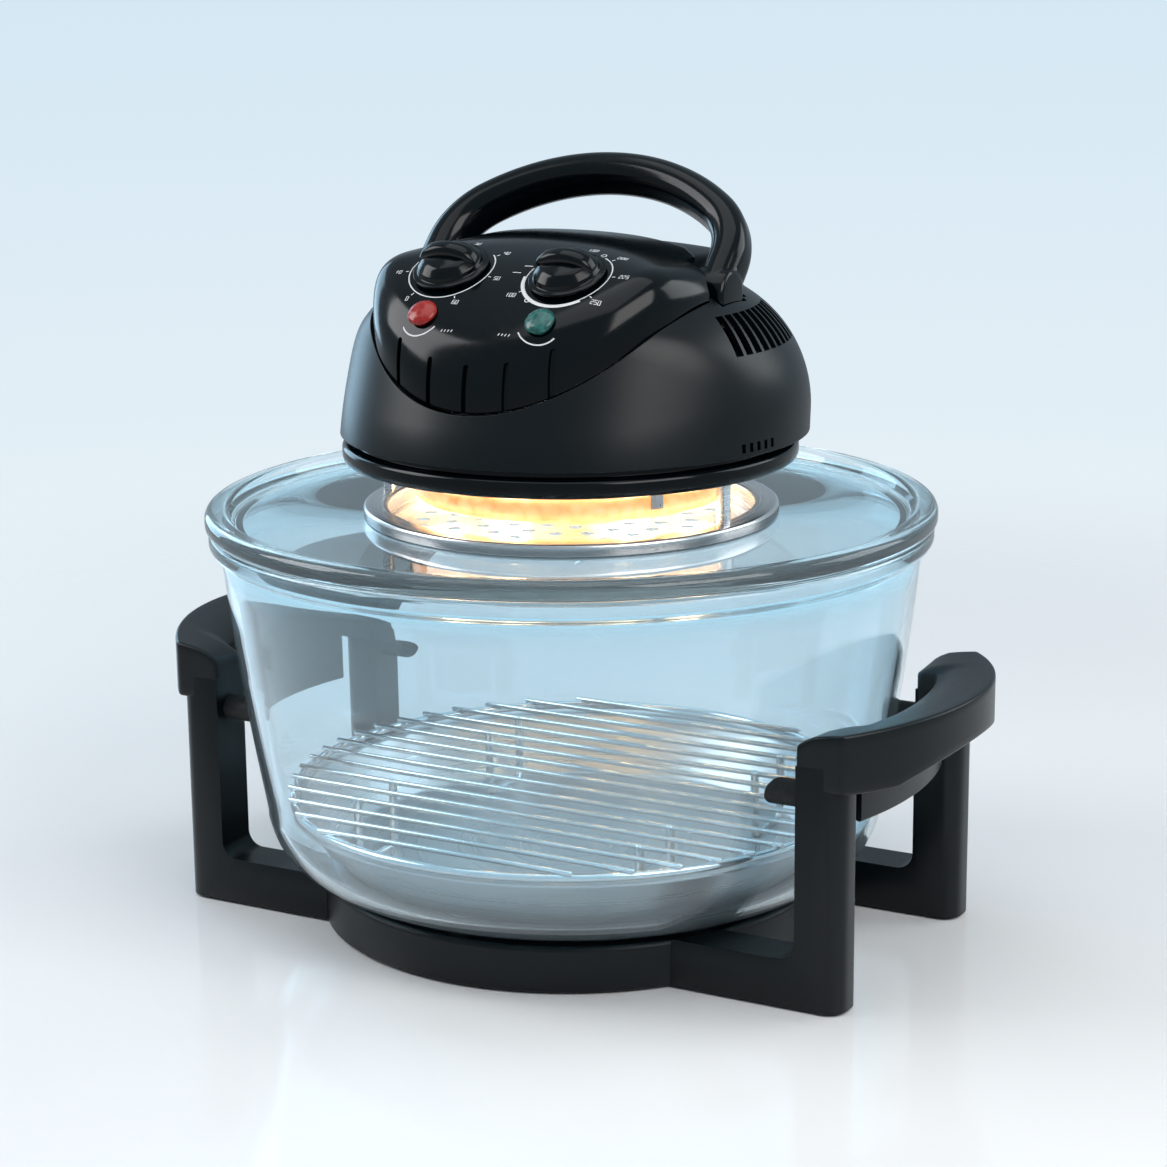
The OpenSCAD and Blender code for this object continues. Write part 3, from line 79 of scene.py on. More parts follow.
@dataclass
class Patchwork:
    """Grids of points that join into one mesh.

    Attributes:
        points: Arrays of points, one for each grid, in millimetres.
        quads: Arrays of corner numbers, one for each grid.
        count: How many points there are so far.
    """

    points: list[Array] = field(default_factory=list)
    quads: list[Array] = field(default_factory=list)
    count: int = 0

    def grid(self, points: Array, wrap_rows: bool = False, wrap_columns: bool = False) -> "Patchwork":
        """Adds a surface given as rows and columns of points, with a quad between each four.

        Args:
            points: Points with the shape rows, columns, 3.
            wrap_rows: Joins the last row to the first.
            wrap_columns: Joins the last column to the first.

        Returns:
            This patchwork.
        """
        rows, columns = points.shape[:2]
        index = np.arange(rows * columns).reshape(rows, columns) + self.count
        if wrap_rows:
            index = np.vstack([index, index[:1]])
        if wrap_columns:
            index = np.hstack([index, index[:, :1]])
        corners = (index[:-1, :-1], index[:-1, 1:], index[1:, 1:], index[1:, :-1])
        self.points.append(points.reshape(-1, 3))
        self.quads.append(np.stack(corners, -1).reshape(-1, 4))
        self.count += rows * columns
        return self

    def cap(self, ring: Array, middle: Optional[Sequence[float]] = None) -> "Patchwork":
        """Closes a loop with faces to a middle that sees all of it.

        Args:
            ring: The loop's points, with the shape count, 3.
            middle: The middle, when it isn't the mean of the points.

        Returns:
            This patchwork.
        """
        spot = ring.mean(0) if middle is None else np.array(middle)
        return self.grid(np.stack([ring, np.broadcast_to(spot, ring.shape)]), wrap_columns=True)

    def tube(self, rows: Array) -> "Patchwork":
        """Adds a surface that wraps round, with its first and its last row closed."""
        return self.grid(rows, wrap_columns=True).cap(rows[0]).cap(rows[-1])

    def mesh(self, name: str, inside: Optional[Sequence[float]] = None, sharp: float = 35.0) -> Piece:
        """Makes the object, merges seams and poles, and turns its faces outwards.

        Args:
            name: The object's name.
            inside: A point behind an open surface; a closed one is turned by its volume.
            sharp: The angle in degrees from which an edge is shaded sharp.

        Returns:
            The new object.
        """
        data = bpy.data.meshes.new(name)
        points = np.concatenate(self.points) * MM
        data.from_pydata(points.tolist(), [], np.concatenate(self.quads).tolist())
        work = bmesh.new()
        work.from_mesh(data)
        bmesh.ops.remove_doubles(work, verts=work.verts, dist=1e-6)
        bmesh.ops.dissolve_degenerate(work, edges=work.edges, dist=1e-7)
        bmesh.ops.recalc_face_normals(work, faces=work.faces)
        if inside is None:
            outward = work.calc_volume(signed=True)
        else:
            middle = Vector(inside) * MM
            outward = sum(f.calc_area() * f.normal.dot(f.calc_center_median() - middle) for f in work.faces)
        if outward < 0.0:
            bmesh.ops.reverse_faces(work, faces=work.faces)
        work.to_mesh(data)
        work.free()
        piece = bpy.data.objects.new(name, data)
        bpy.context.scene.collection.objects.link(piece)
        smooth(piece, sharp)
        return piece


def smooth(piece: Piece, sharp: float = 35.0) -> None:
    """Shades a piece smooth, with its edges sharp from an angle on.

    Args:
        piece: The object.
        sharp: The angle in degrees.
    """
    piece.data.shade_smooth()
    piece.data.set_sharp_from_angle(angle=math.radians(sharp))


def rounded(corners: Sequence[tuple[float, float, float]], closed: bool = True, steps: int = 6) -> Array:
    """A polyline whose corners are arcs.

    At each corner the arc touches both sides at radius * tan(half the turn) from it, and its points
    are corner + blend of the two touch points along the arc's circle.

    Args:
        corners: Two coordinates and a radius for each corner.
        closed: Whether the last corner joins the first.
        steps: Segments in an arc.

    Returns:
        The points, with the shape count, 2.
    """
    spots = np.array(corners, float)
    count = len(spots)
    runs: list[Array] = []
    for k in range(count):
        corner, radius = spots[k, :2], spots[k, 2]
        if radius <= 0.0 or (not closed and k in (0, count - 1)):
            runs.append(corner[None])
            continue
        back = spots[k - 1, :2] - corner
        ahead = spots[(k + 1) % count, :2] - corner
        room = min(np.linalg.norm(back), np.linalg.norm(ahead)) * 0.499
        back, ahead = back / np.linalg.norm(back), ahead / np.linalg.norm(ahead)
        half = math.acos(float(np.clip(back @ ahead, -1.0, 1.0))) / 2.0
        reach = min(radius / math.tan(half), room)
        radius = reach * math.tan(half)
        middle = corner + (back + ahead) / np.linalg.norm(back + ahead) * radius / math.sin(half)
        start, end = corner + back * reach - middle, corner + ahead * reach - middle
        sweep = math.atan2(start[0] * end[1] - start[1] * end[0], start @ end)
        angle = np.linspace(0.0, sweep, steps + 1)[:, None]
        across = np.array([-start[1], start[0]])
        runs.append(middle + start * np.cos(angle) + across * np.sin(angle))
    return np.concatenate(runs)


def revolve(profile: Array, segments: int = 240) -> Array:
    """A profile turned about the vertical axis: x = r cos t, y = r sin t, z = z.

    Args:
        profile: Points as radius and height.
        segments: Columns round the axis.

    Returns:
        Points with the shape profile, segments, 3.
    """
    angle = np.arange(segments) * TURN / segments
    radius, height = profile[:, :1], profile[:, 1:]
    return np.stack([radius * np.cos(angle), radius * np.sin(angle), height + 0.0 * angle], -1)


def ring_piece(name: str, corners: Sequence[tuple[float, float, float]], segments: int = 240) -> Piece:
    """A solid of revolution from a rounded section.

    Args:
        name: The object's name.
        corners: Radius, height and corner radius of each corner, once round the section.
        segments: Columns round the axis.

    Returns:
        The new object.
    """
    return Patchwork().grid(revolve(rounded(corners), segments), True, True).mesh(name)


def sweep(path: Array, section: Array, across: Sequence[float]) -> Array:
    """A section carried along a flat path.

    A point of the section (a, b) lies at path + a * n + b * across, where across is the path's
    plane's normal and n = tangent x across.

    Args:
        path: Points of the path, with the shape count, 3.
        section: Points of the section, with the shape count, 2.
        across: The normal of the path's plane.

    Returns:
        Points with the shape path, section, 3.
    """
    tangent = np.gradient(path, axis=0)
    tangent /= np.linalg.norm(tangent, axis=1, keepdims=True)
    side = np.cross(tangent, np.array(across, float))
    side /= np.linalg.norm(side, axis=1, keepdims=True)
    return path[:, None] + side[:, None] * section[None, :, :1] + np.array(across) * section[None, :, 1:]


def circle(radius: float, count: int) -> Array:
    """Points of a circle as (r cos t, r sin t)."""
    angle = np.arange(count) * TURN / count
    return radius * np.stack([np.cos(angle), np.sin(angle)], -1)


def wire(patch: Patchwork, path: Array, radius: float, across: Sequence[float], sides: int = 12) -> None:
    """Adds a round wire with domed ends: the end rings are radius * cos p, pushed out by radius * sin p.

    Args:
        patch: The patchwork that gets the wire.
        path: Points of the wire's middle line, which lies in a plane.
        radius: The wire's radius.
        across: The normal of the path's plane.
        sides: Points round the wire.
    """
    body = sweep(path, circle(radius, sides), across)
    first = path[0] - path[1]
    last = path[-1] - path[-2]
    lean = np.radians([22.5, 45.0, 67.5, 90.0])[:, None, None]

    def dome(ring: Array, middle: Array, way: Array) -> Array:
        """Rings that shrink and move out over a wire's end."""
        way = way / np.linalg.norm(way)
        return middle + (ring - middle) * np.cos(lean) + way * radius * 0.8 * np.sin(lean)

    start = dome(body[0], path[0], first)[::-1]
    end = dome(body[-1], path[-1], last)
    patch.grid(np.concatenate([start, body, end]), wrap_columns=True)


def box_grid(patch: Patchwork, low: Sequence[float], high: Sequence[float]) -> None:
    """Adds a box's six faces, each a grid of one quad.

    Args:
        patch: The patchwork that gets the box.
        low: The lowest corner.
        high: The highest corner.
    """
    a, b = np.array(low, float), np.array(high, float)
    loop = np.array([[a[0], a[1]], [b[0], a[1]], [b[0], b[1]], [a[0], b[1]]])
    walls = np.stack([np.column_stack([loop, np.full(4, z)]) for z in (a[2], b[2])])
    patch.grid(walls, wrap_columns=True)
    for z in (a[2], b[2]):
        flat = np.array([[[a[0], a[1], z], [b[0], a[1], z]], [[a[0], b[1], z], [b[0], b[1], z]]])
        patch.grid(flat)


def prism(patch: Patchwork, outline: Array, low: float, high: float) -> None:
    """Adds an upright prism over an outline, with its ends closed to its middle.

    Args:
        patch: The patchwork that gets the prism.
        outline: Points in plan, once round.
        low: Height of its foot.
        high: Height of its top.
    """
    rings = [np.column_stack([outline, np.full(len(outline), z)]) for z in (low, high)]
    patch.tube(np.stack(rings))


def about_x(points: Array, middle: Sequence[float], lean: float) -> Array:
    """Points seen from a frame that leans back about X: y' = c y - s z and z' = s y + c z.

    Args:
        points: The points.
        middle: The frame's origin.
        lean: How far it leans back, in degrees.

    Returns:
        The points in the frame.
    """
    c, s = math.cos(math.radians(lean)), math.sin(math.radians(lean))
    p = points - np.array(middle, float)
    return np.stack([p[..., 0], c * p[..., 1] - s * p[..., 2], s * p[..., 1] + c * p[..., 2]], -1)


def from_x(points: Array, middle: Sequence[float], lean: float) -> Array:
    """Points of a frame that leans back about X, seen from outside it: about_x turned round.

    Args:
        points: The points in the frame.
        middle: The frame's origin.
        lean: How far it leans back, in degrees.

    Returns:
        The points outside it.
    """
    c, s = math.cos(math.radians(lean)), math.sin(math.radians(lean))
    x, y, z = points[..., 0], points[..., 1], points[..., 2]
    return np.stack([x, c * y + s * z, c * z - s * y], -1) + np.array(middle, float)


def soft_max(a: Array, b: Array, reach: float) -> Array:
    """The larger distance with its corner rounded: max(a, b) + max(reach - |a - b|, 0)^2 / (4 reach)."""
    return np.maximum(a, b) + np.maximum(reach - np.abs(a - b), 0.0) ** 2 / (4.0 * reach)


def soft_min(a: Array, b: Array, reach: float) -> Array:
    """The smaller distance with its corner filled: the soft maximum of both, turned round."""
    return -soft_max(-a, -b, reach)


def disc_distance(
    points: Array, axes: tuple[int, int], middle: tuple[float, float], radius: float
) -> Array:
    """Distance outside a long cylinder: the length from its axis less its radius."""
    return np.hypot(points[..., axes[0]] - middle[0], points[..., axes[1]] - middle[1]) - radius


def halved(holds: Callable[[Array], Array], near: Array, far: Array) -> tuple[Array, Array]:
    """Narrows ranges down to where a test stops holding, by halving them 34 times.

    Args:
        holds: Tells for places whether the test holds there.
        near: The ranges' ends where it holds.
        far: The ranges' ends where it doesn't.

    Returns:
        The narrowed ranges' ends.
    """
    for _ in range(34):
        middle = (near + far) / 2.0
        inside = holds(middle)
        near, far = np.where(inside, middle, near), np.where(inside, far, middle)
    return near, far


@dataclass
class RayField:
    """Rays from a centre inside a form, each given by its lean from a pole and its turn about it.

    Attributes:
        centre: Where the rays start.
        pole: The direction of no lean.
        form: Distance outside the form; below 0 is inside.
        columns: Rays round the pole.
        far: How far a ray may reach.
    """

    centre: Sequence[float]
    pole: Sequence[float]
    form: Distance
    columns: int
    far: float = 260.0

    def __post_init__(self) -> None:
        """Works out two directions square to the pole and the turn of each column."""
        pole = np.array(self.pole, float)
        self._pole = pole / np.linalg.norm(pole)
        self._side = np.array([1.0, 0.0, 0.0])
        self._up = np.cross(self._pole, self._side)
        self._turn = np.arange(self.columns) * TURN / self.columns

    def meet(self, lean: Array) -> Array:
        """Points where rays leave the form, found by halving the distance along each.

        The ray's direction is pole * cos(lean) + (side * cos(turn) + up * sin(turn)) * sin(lean).

        Args:
            lean: Angles from the pole, with the columns last.

        Returns:
            Points with the shape of lean, 3.
        """
        round_pole = np.cos(self._turn)[:, None] * self._side + np.sin(self._turn)[:, None] * self._up
        way = self._pole * np.cos(lean)[..., None] + round_pole * np.sin(lean)[..., None]
        start = np.array(self.centre, float)
        nearest, farthest = np.zeros(lean.shape), np.full(lean.shape, self.far)
        reach = halved(lambda r: self.form(start + way * r[..., None]) < 0.0, nearest, farthest)[1]
        return start + way * reach[..., None]

    def edge(self, test: Distance, low: float, high: float) -> Array:
        """The lean at which a test on the form's surface turns positive, for each column.

        Args:
            test: A function of points, negative near the pole.
            low: Smallest lean, in radians.
            high: Largest lean, in radians.

        Returns:
            One lean for each column.
        """
        near, far = np.full(self.columns, low), np.full(self.columns, high)
        near, far = halved(lambda lean: test(self.meet(lean)) < 0.0, near, far)
        return (near + far) / 2.0

    def patch(self, near: Array, far: Array, rows: int) -> Array:
        """The form's surface between two leans.

        Args:
            near: The first row's lean for each column.
            far: The last row's lean for each column.
            rows: Rows of points.

        Returns:
            Points with the shape rows, columns, 3.
        """
        return self.meet(near + (far - near) * np.linspace(0.0, 1.0, rows)[:, None])


# ---------------------------------------------------------------- finishing


def bevel(piece: Piece, width: float, segments: int = 3, angle: float = 40.0) -> None:
    """Rounds a piece's sharp edges.

    Args:
        piece: The object.
        width: How far the rounding reaches from an edge, in millimetres.
        segments: Steps of the rounding.
        angle: The angle in degrees from which an edge is rounded.
    """
    modifier = piece.modifiers.new("edges", "BEVEL")
    modifier.width = width * MM
    modifier.segments = segments
    modifier.limit_method = "ANGLE"
    modifier.angle_limit = math.radians(angle)
    modifier.miter_outer = "MITER_ARC"


def thicken(piece: Piece, wall: float) -> None:
    """Gives an open surface a wall on its inner side.

    Args:
        piece: The object.
        wall: The wall in millimetres.
    """
    modifier = piece.modifiers.new("wall", "SOLIDIFY")
    modifier.thickness = wall * MM
    modifier.offset = -1.0
    modifier.use_even_offset = True
    modifier.thickness_clamp = 0.0


def settle(piece: Piece, sharp: float = 35.0) -> None:
    """Makes a piece's modifiers part of its mesh.

    Args:
        piece: The object.
        sharp: The angle in degrees from which an edge is shaded sharp.
    """
    graph = bpy.context.evaluated_depsgraph_get()
    data = bpy.data.meshes.new_from_object(piece.evaluated_get(graph))
    piece.modifiers.clear()
    piece.data = data
    smooth(piece, sharp)


def combine(
    piece: Piece, others: Sequence[Piece], operation: str = "DIFFERENCE", sharp: float = 35.0
) -> None:
    """Cuts closed pieces out of a closed piece, or joins or crosses it with them, and deletes them.

    Args:
        piece: The object that stays.
        others: The objects that it is combined with.
        operation: DIFFERENCE, UNION or INTERSECT.
        sharp: The angle in degrees from which an edge is shaded sharp.
    """
    for other in others:
        modifier = piece.modifiers.new("cut", "BOOLEAN")
        modifier.operation = operation
        modifier.solver = "MANIFOLD"
        modifier.object = other
    settle(piece, sharp)
    for other in others:
        bpy.data.objects.remove(other)


class NodeTree:
    """A node tree of a material or a world, whose inputs are values or other nodes' outputs."""

    def __init__(self, owner: bpy.types.ID) -> None:
        """Turns the owner's nodes on."""
        owner.use_nodes = True
        self.nodes, self.links = owner.node_tree.nodes, owner.node_tree.links

    def fill(self, node: bpy.types.Node, inputs: dict) -> None:
        """Sets or links a node's inputs.

        Args:
            node: The node.
            inputs: A value or an output for each input's name or number.
        """
        for key, value in inputs.items():
            if isinstance(value, bpy.types.NodeSocket):
                self.links.new(value, node.inputs[key])
            else:
                node.inputs[key].default_value = value

    def add(self, kind: str, inputs: Optional[dict] = None, operation: str = "") -> bpy.types.NodeOutputs:
        """Adds a node.

        Args:
            kind: Its type, without the leading words.
            inputs: A value or an output for each input's name or number.
            operation: What it works out, where it has a choice.

        Returns:
            Its outputs.
        """
        node = self.nodes.new("ShaderNode" + kind)
        if operation:
            node.operation = operation
        self.fill(node, inputs or {})
        return node.outputs

    def blend(self, share: bpy.types.NodeSocket, first: Colour, second: Colour) -> bpy.types.NodeSocket:
        """Adds a blend of two colours.

        Args:
            share: The value from 0 to 1 that it follows.
            first: The colour at 0.
            second: The colour at 1.

        Returns:
            The output that gives the colour.
        """
        node = self.nodes.new("ShaderNodeMix")
        node.data_type = "RGBA"
        self.fill(node, {0: share, 6: (*first, 1.0), 7: (*second, 1.0)})
        return node.outputs[2]


class Grain(Enum):
    """How a finish varies over a surface."""

    MOULDED = "moulded"
    SPUN = "spun"
    DRAWN = "drawn"
    CELLS = "cells"


@dataclass(frozen=True)
class Finish:
    """A procedural finish, whose colour, roughness and relief vary over the surface.

    Attributes:
        name: The material's name.
        colour: The main colour.
        shade: The colour of its darker or lighter places.
        rough: The lowest and highest roughness.
        grain: The kind of variation.
        grain_size: Size of the variation in millimetres.
        relief: Height of the bumps in millimetres.
        metal: 1 for a metal.
        clear: 1 for a clear material.
        ior: Index of refraction.
        shine: Level of the reflection; 0.5 is what the index of refraction gives.
        glow: Colours of its own light, which follow the variation.
        glow_strength: Strength of its own light.
    """

    name: str
    colour: Colour
    shade: Colour
    rough: tuple[float, float]
    grain: Grain = Grain.MOULDED
    grain_size: float = 2.0
    relief: float = 0.02
    metal: float = 0.0
    clear: float = 0.0
    ior: float = 1.5
    shine: float = 0.5
    glow: Optional[tuple[Colour, Colour]] = None
    glow_strength: float = 0.0

    def material(self) -> bpy.types.Material:
        """The finish's material, made once."""
        found = bpy.data.materials.get(self.name)
        return found if found else self._make()

    def _make(self) -> bpy.types.Material:
        """Builds the material's nodes on Object coordinates.

        Returns:
            The new material.
        """
        material = bpy.data.materials.new(self.name)
        tree = NodeTree(material)
        pattern = self._pattern(tree)
        low, high = self.rough
        spread = {"From Min": 0.25, "From Max": 0.75, "To Min": low, "To Max": high, "Value": pattern}
        bump = {"Strength": 0.6, "Distance": self.relief * MM, "Height": pattern}
        inputs = {
            "Base Color": tree.blend(pattern, self.colour, self.shade),
            "Roughness": tree.add("MapRange", spread)["Result"],
            "Normal": tree.add("Bump", bump)["Normal"],
            "Metallic": self.metal,
            "Transmission Weight": self.clear,
            "IOR": self.ior,
            "Specular IOR Level": self.shine,
        }
        if self.glow:
            inputs["Emission Color"] = tree.blend(pattern, *self.glow)
            inputs["Emission Strength"] = self.glow_strength
        tree.fill(tree.nodes["Principled BSDF"], inputs)
        return material

    def _pattern(self, tree: NodeTree) -> bpy.types.NodeSocket:
        """The value from 0 to 1 that colour, roughness and relief follow.

        A spun finish reads (distance from the axis, 0, height), so that its lines run round, and a
        drawn one is stretched along Y.

        Args:
            tree: The material's nodes.

        Returns:
            The output that gives the value.
        """
        place = tree.add("TexCoord")["Object"]
        if self.grain is Grain.SPUN:
            height = tree.add("SeparateXYZ", {0: place})["Z"]
            flat = tree.add("VectorMath", {0: place, 1: (1.0, 1.0, 0.0)}, "MULTIPLY")["Vector"]
            length = tree.add("VectorMath", {0: flat}, "LENGTH")["Value"]
            place = tree.add("CombineXYZ", {"X": length, "Z": height})["Vector"]
        stretch = (1.0, 0.05, 1.0) if self.grain is Grain.DRAWN else (1.0, 1.0, 1.0)
        mapped = tree.add("Mapping", {"Vector": place, "Scale": stretch})["Vector"]
        inputs = {"Vector": mapped, "Scale": 1.0 / (self.grain_size * MM)}
        if self.grain is Grain.CELLS:
            return tree.add("TexVoronoi", inputs)["Distance"]
        return tree.add("TexNoise", {**inputs, "Detail": 4.0})["Fac"]


SATIN_BLACK = ((0.0012, 0.0034, 0.0050), (0.0020, 0.0046, 0.0064))
GLOSS_BLACK = ((0.0006, 0.0022, 0.0034), (0.0010, 0.0028, 0.0042))
GLASS_BLUE = ((0.80, 0.93, 0.985), (0.83, 0.94, 0.99))
MOULDED, SPUN, DRAWN, CELLS = Grain.MOULDED, Grain.SPUN, Grain.DRAWN, Grain.CELLS


def steel(
    name: str, level: float, rough: tuple[float, float], grain: Grain, size: float, relief: float
) -> Finish:
    """A steel or other grey metal whose lines are a fifth darker than its colour."""
    light, dark = (level, level, level * 1.01), (level * 0.8, level * 0.8, level * 0.82)
    return Finish(name, light, dark, rough, grain, size, relief, metal=1.0)


FINISHES: dict[str, Finish] = {
    "black_moulding": Finish(
        "satin black moulding", *SATIN_BLACK, (0.30, 0.38), MOULDED, 0.9, 0.004, shine=0.28
    ),
    "gloss_black": Finish(
        "gloss black moulding", *GLOSS_BLACK, (0.12, 0.17), MOULDED, 3.0, 0.001, shine=0.24
    ),
    "clear_glass": Finish(
        "clear glass", *GLASS_BLUE, (0.0, 0.02), MOULDED, 30.0, 0.002, clear=0.95, ior=1.45, shine=0.35
    ),
    "polished_steel": steel("polished steel", 0.78, (0.16, 0.34), SPUN, 0.7, 0.004),
    "tray_steel": steel("tray steel", 0.62, (0.22, 0.42), SPUN, 0.9, 0.01),
    "chromed_wire": steel("chromed wire", 0.76, (0.06, 0.16), MOULDED, 2.0, 0.004),
    "screw_steel": steel("screw steel", 0.5, (0.25, 0.4), MOULDED, 2.0, 0.01),
    "bright_aluminium": steel("bright aluminium", 0.8, (0.18, 0.36), CELLS, 6.0, 0.25),
    "silicone": Finish(
        "silicone", (0.06, 0.06, 0.065), (0.08, 0.08, 0.085), (0.55, 0.7), MOULDED, 2.0, 0.01
    ),
    "black_rubber": Finish(
        "rubber", (0.006, 0.007, 0.008), (0.010, 0.011, 0.012), (0.6, 0.8), MOULDED, 2.0, 0.02
    ),
    "white_ceramic": Finish(
        "ceramic", (0.78, 0.76, 0.71), (0.70, 0.68, 0.63), (0.3, 0.5), MOULDED, 2.0, 0.02
    ),
    "cream_plastic": Finish(
        "cream plastic", (0.70, 0.66, 0.55), (0.64, 0.60, 0.49), (0.35, 0.5), MOULDED, 2.0, 0.01
    ),
    "brass_parts": Finish(
        "brass", (0.72, 0.55, 0.25), (0.62, 0.46, 0.20), (0.2, 0.4), DRAWN, 0.8, 0.006, metal=1.0
    ),
    "lamination_steel": steel("lamination steel", 0.3, (0.35, 0.6), DRAWN, 0.6, 0.05),
    "copper_winding": Finish(
        "copper", (0.62, 0.28, 0.12), (0.45, 0.18, 0.07), (0.3, 0.5), DRAWN, 0.8, 0.2, metal=1.0
    ),
    "red_lens": Finish(
        "red lens", (0.26, 0.008, 0.005), (0.36, 0.018, 0.012), (0.15, 0.3), CELLS, 2.4, 0.15
    ),
    "green_lens": Finish(
        "green lens", (0.003, 0.05, 0.045), (0.025, 0.16, 0.14), (0.15, 0.3), CELLS, 2.2, 0.15
    ),
    "neon_glass": Finish(
        "neon glass", (0.8, 0.5, 0.3), (0.7, 0.4, 0.25), (0.1, 0.2), MOULDED, 2.0, 0.002, clear=0.6
    ),
    "lamp_quartz": Finish(
        "lit lamp", (0.9, 0.7, 0.45), (0.9, 0.6, 0.35), (0.15, 0.3), CELLS, 5.0, 0.1,
        glow=((1.0, 0.66, 0.30), (0.80, 0.22, 0.03)), glow_strength=0.9,
    ),
}
PRINT = Finish("white print", (0.78, 0.80, 0.82), (0.70, 0.72, 0.74), (0.4, 0.55), MOULDED, 2.0, 0.001)


def dress(piece: Piece, slot: str, body: str, *nodes: str) -> Piece:
    """Gives a piece its finish, puts it on its body and lets it stand for solids of the frame.

    Args:
        piece: The object.
        slot: The material slot, which names the finish.
        body: The body that it moves with.
        *nodes: The solids that it stands for.

    Returns:
        The object.
    """
    piece.data.materials.clear()
    piece.data.materials.append(FINISHES[slot].material())
    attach(piece, body)
    if nodes:
        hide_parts(*nodes)
    triangles = sum(len(p.vertices) - 2 for p in piece.data.polygons)
    LOG.info("%s: %d triangles, %s, on %s", piece.name, triangles, slot, body)
    return piece


# ---------------------------------------------------------------- stand


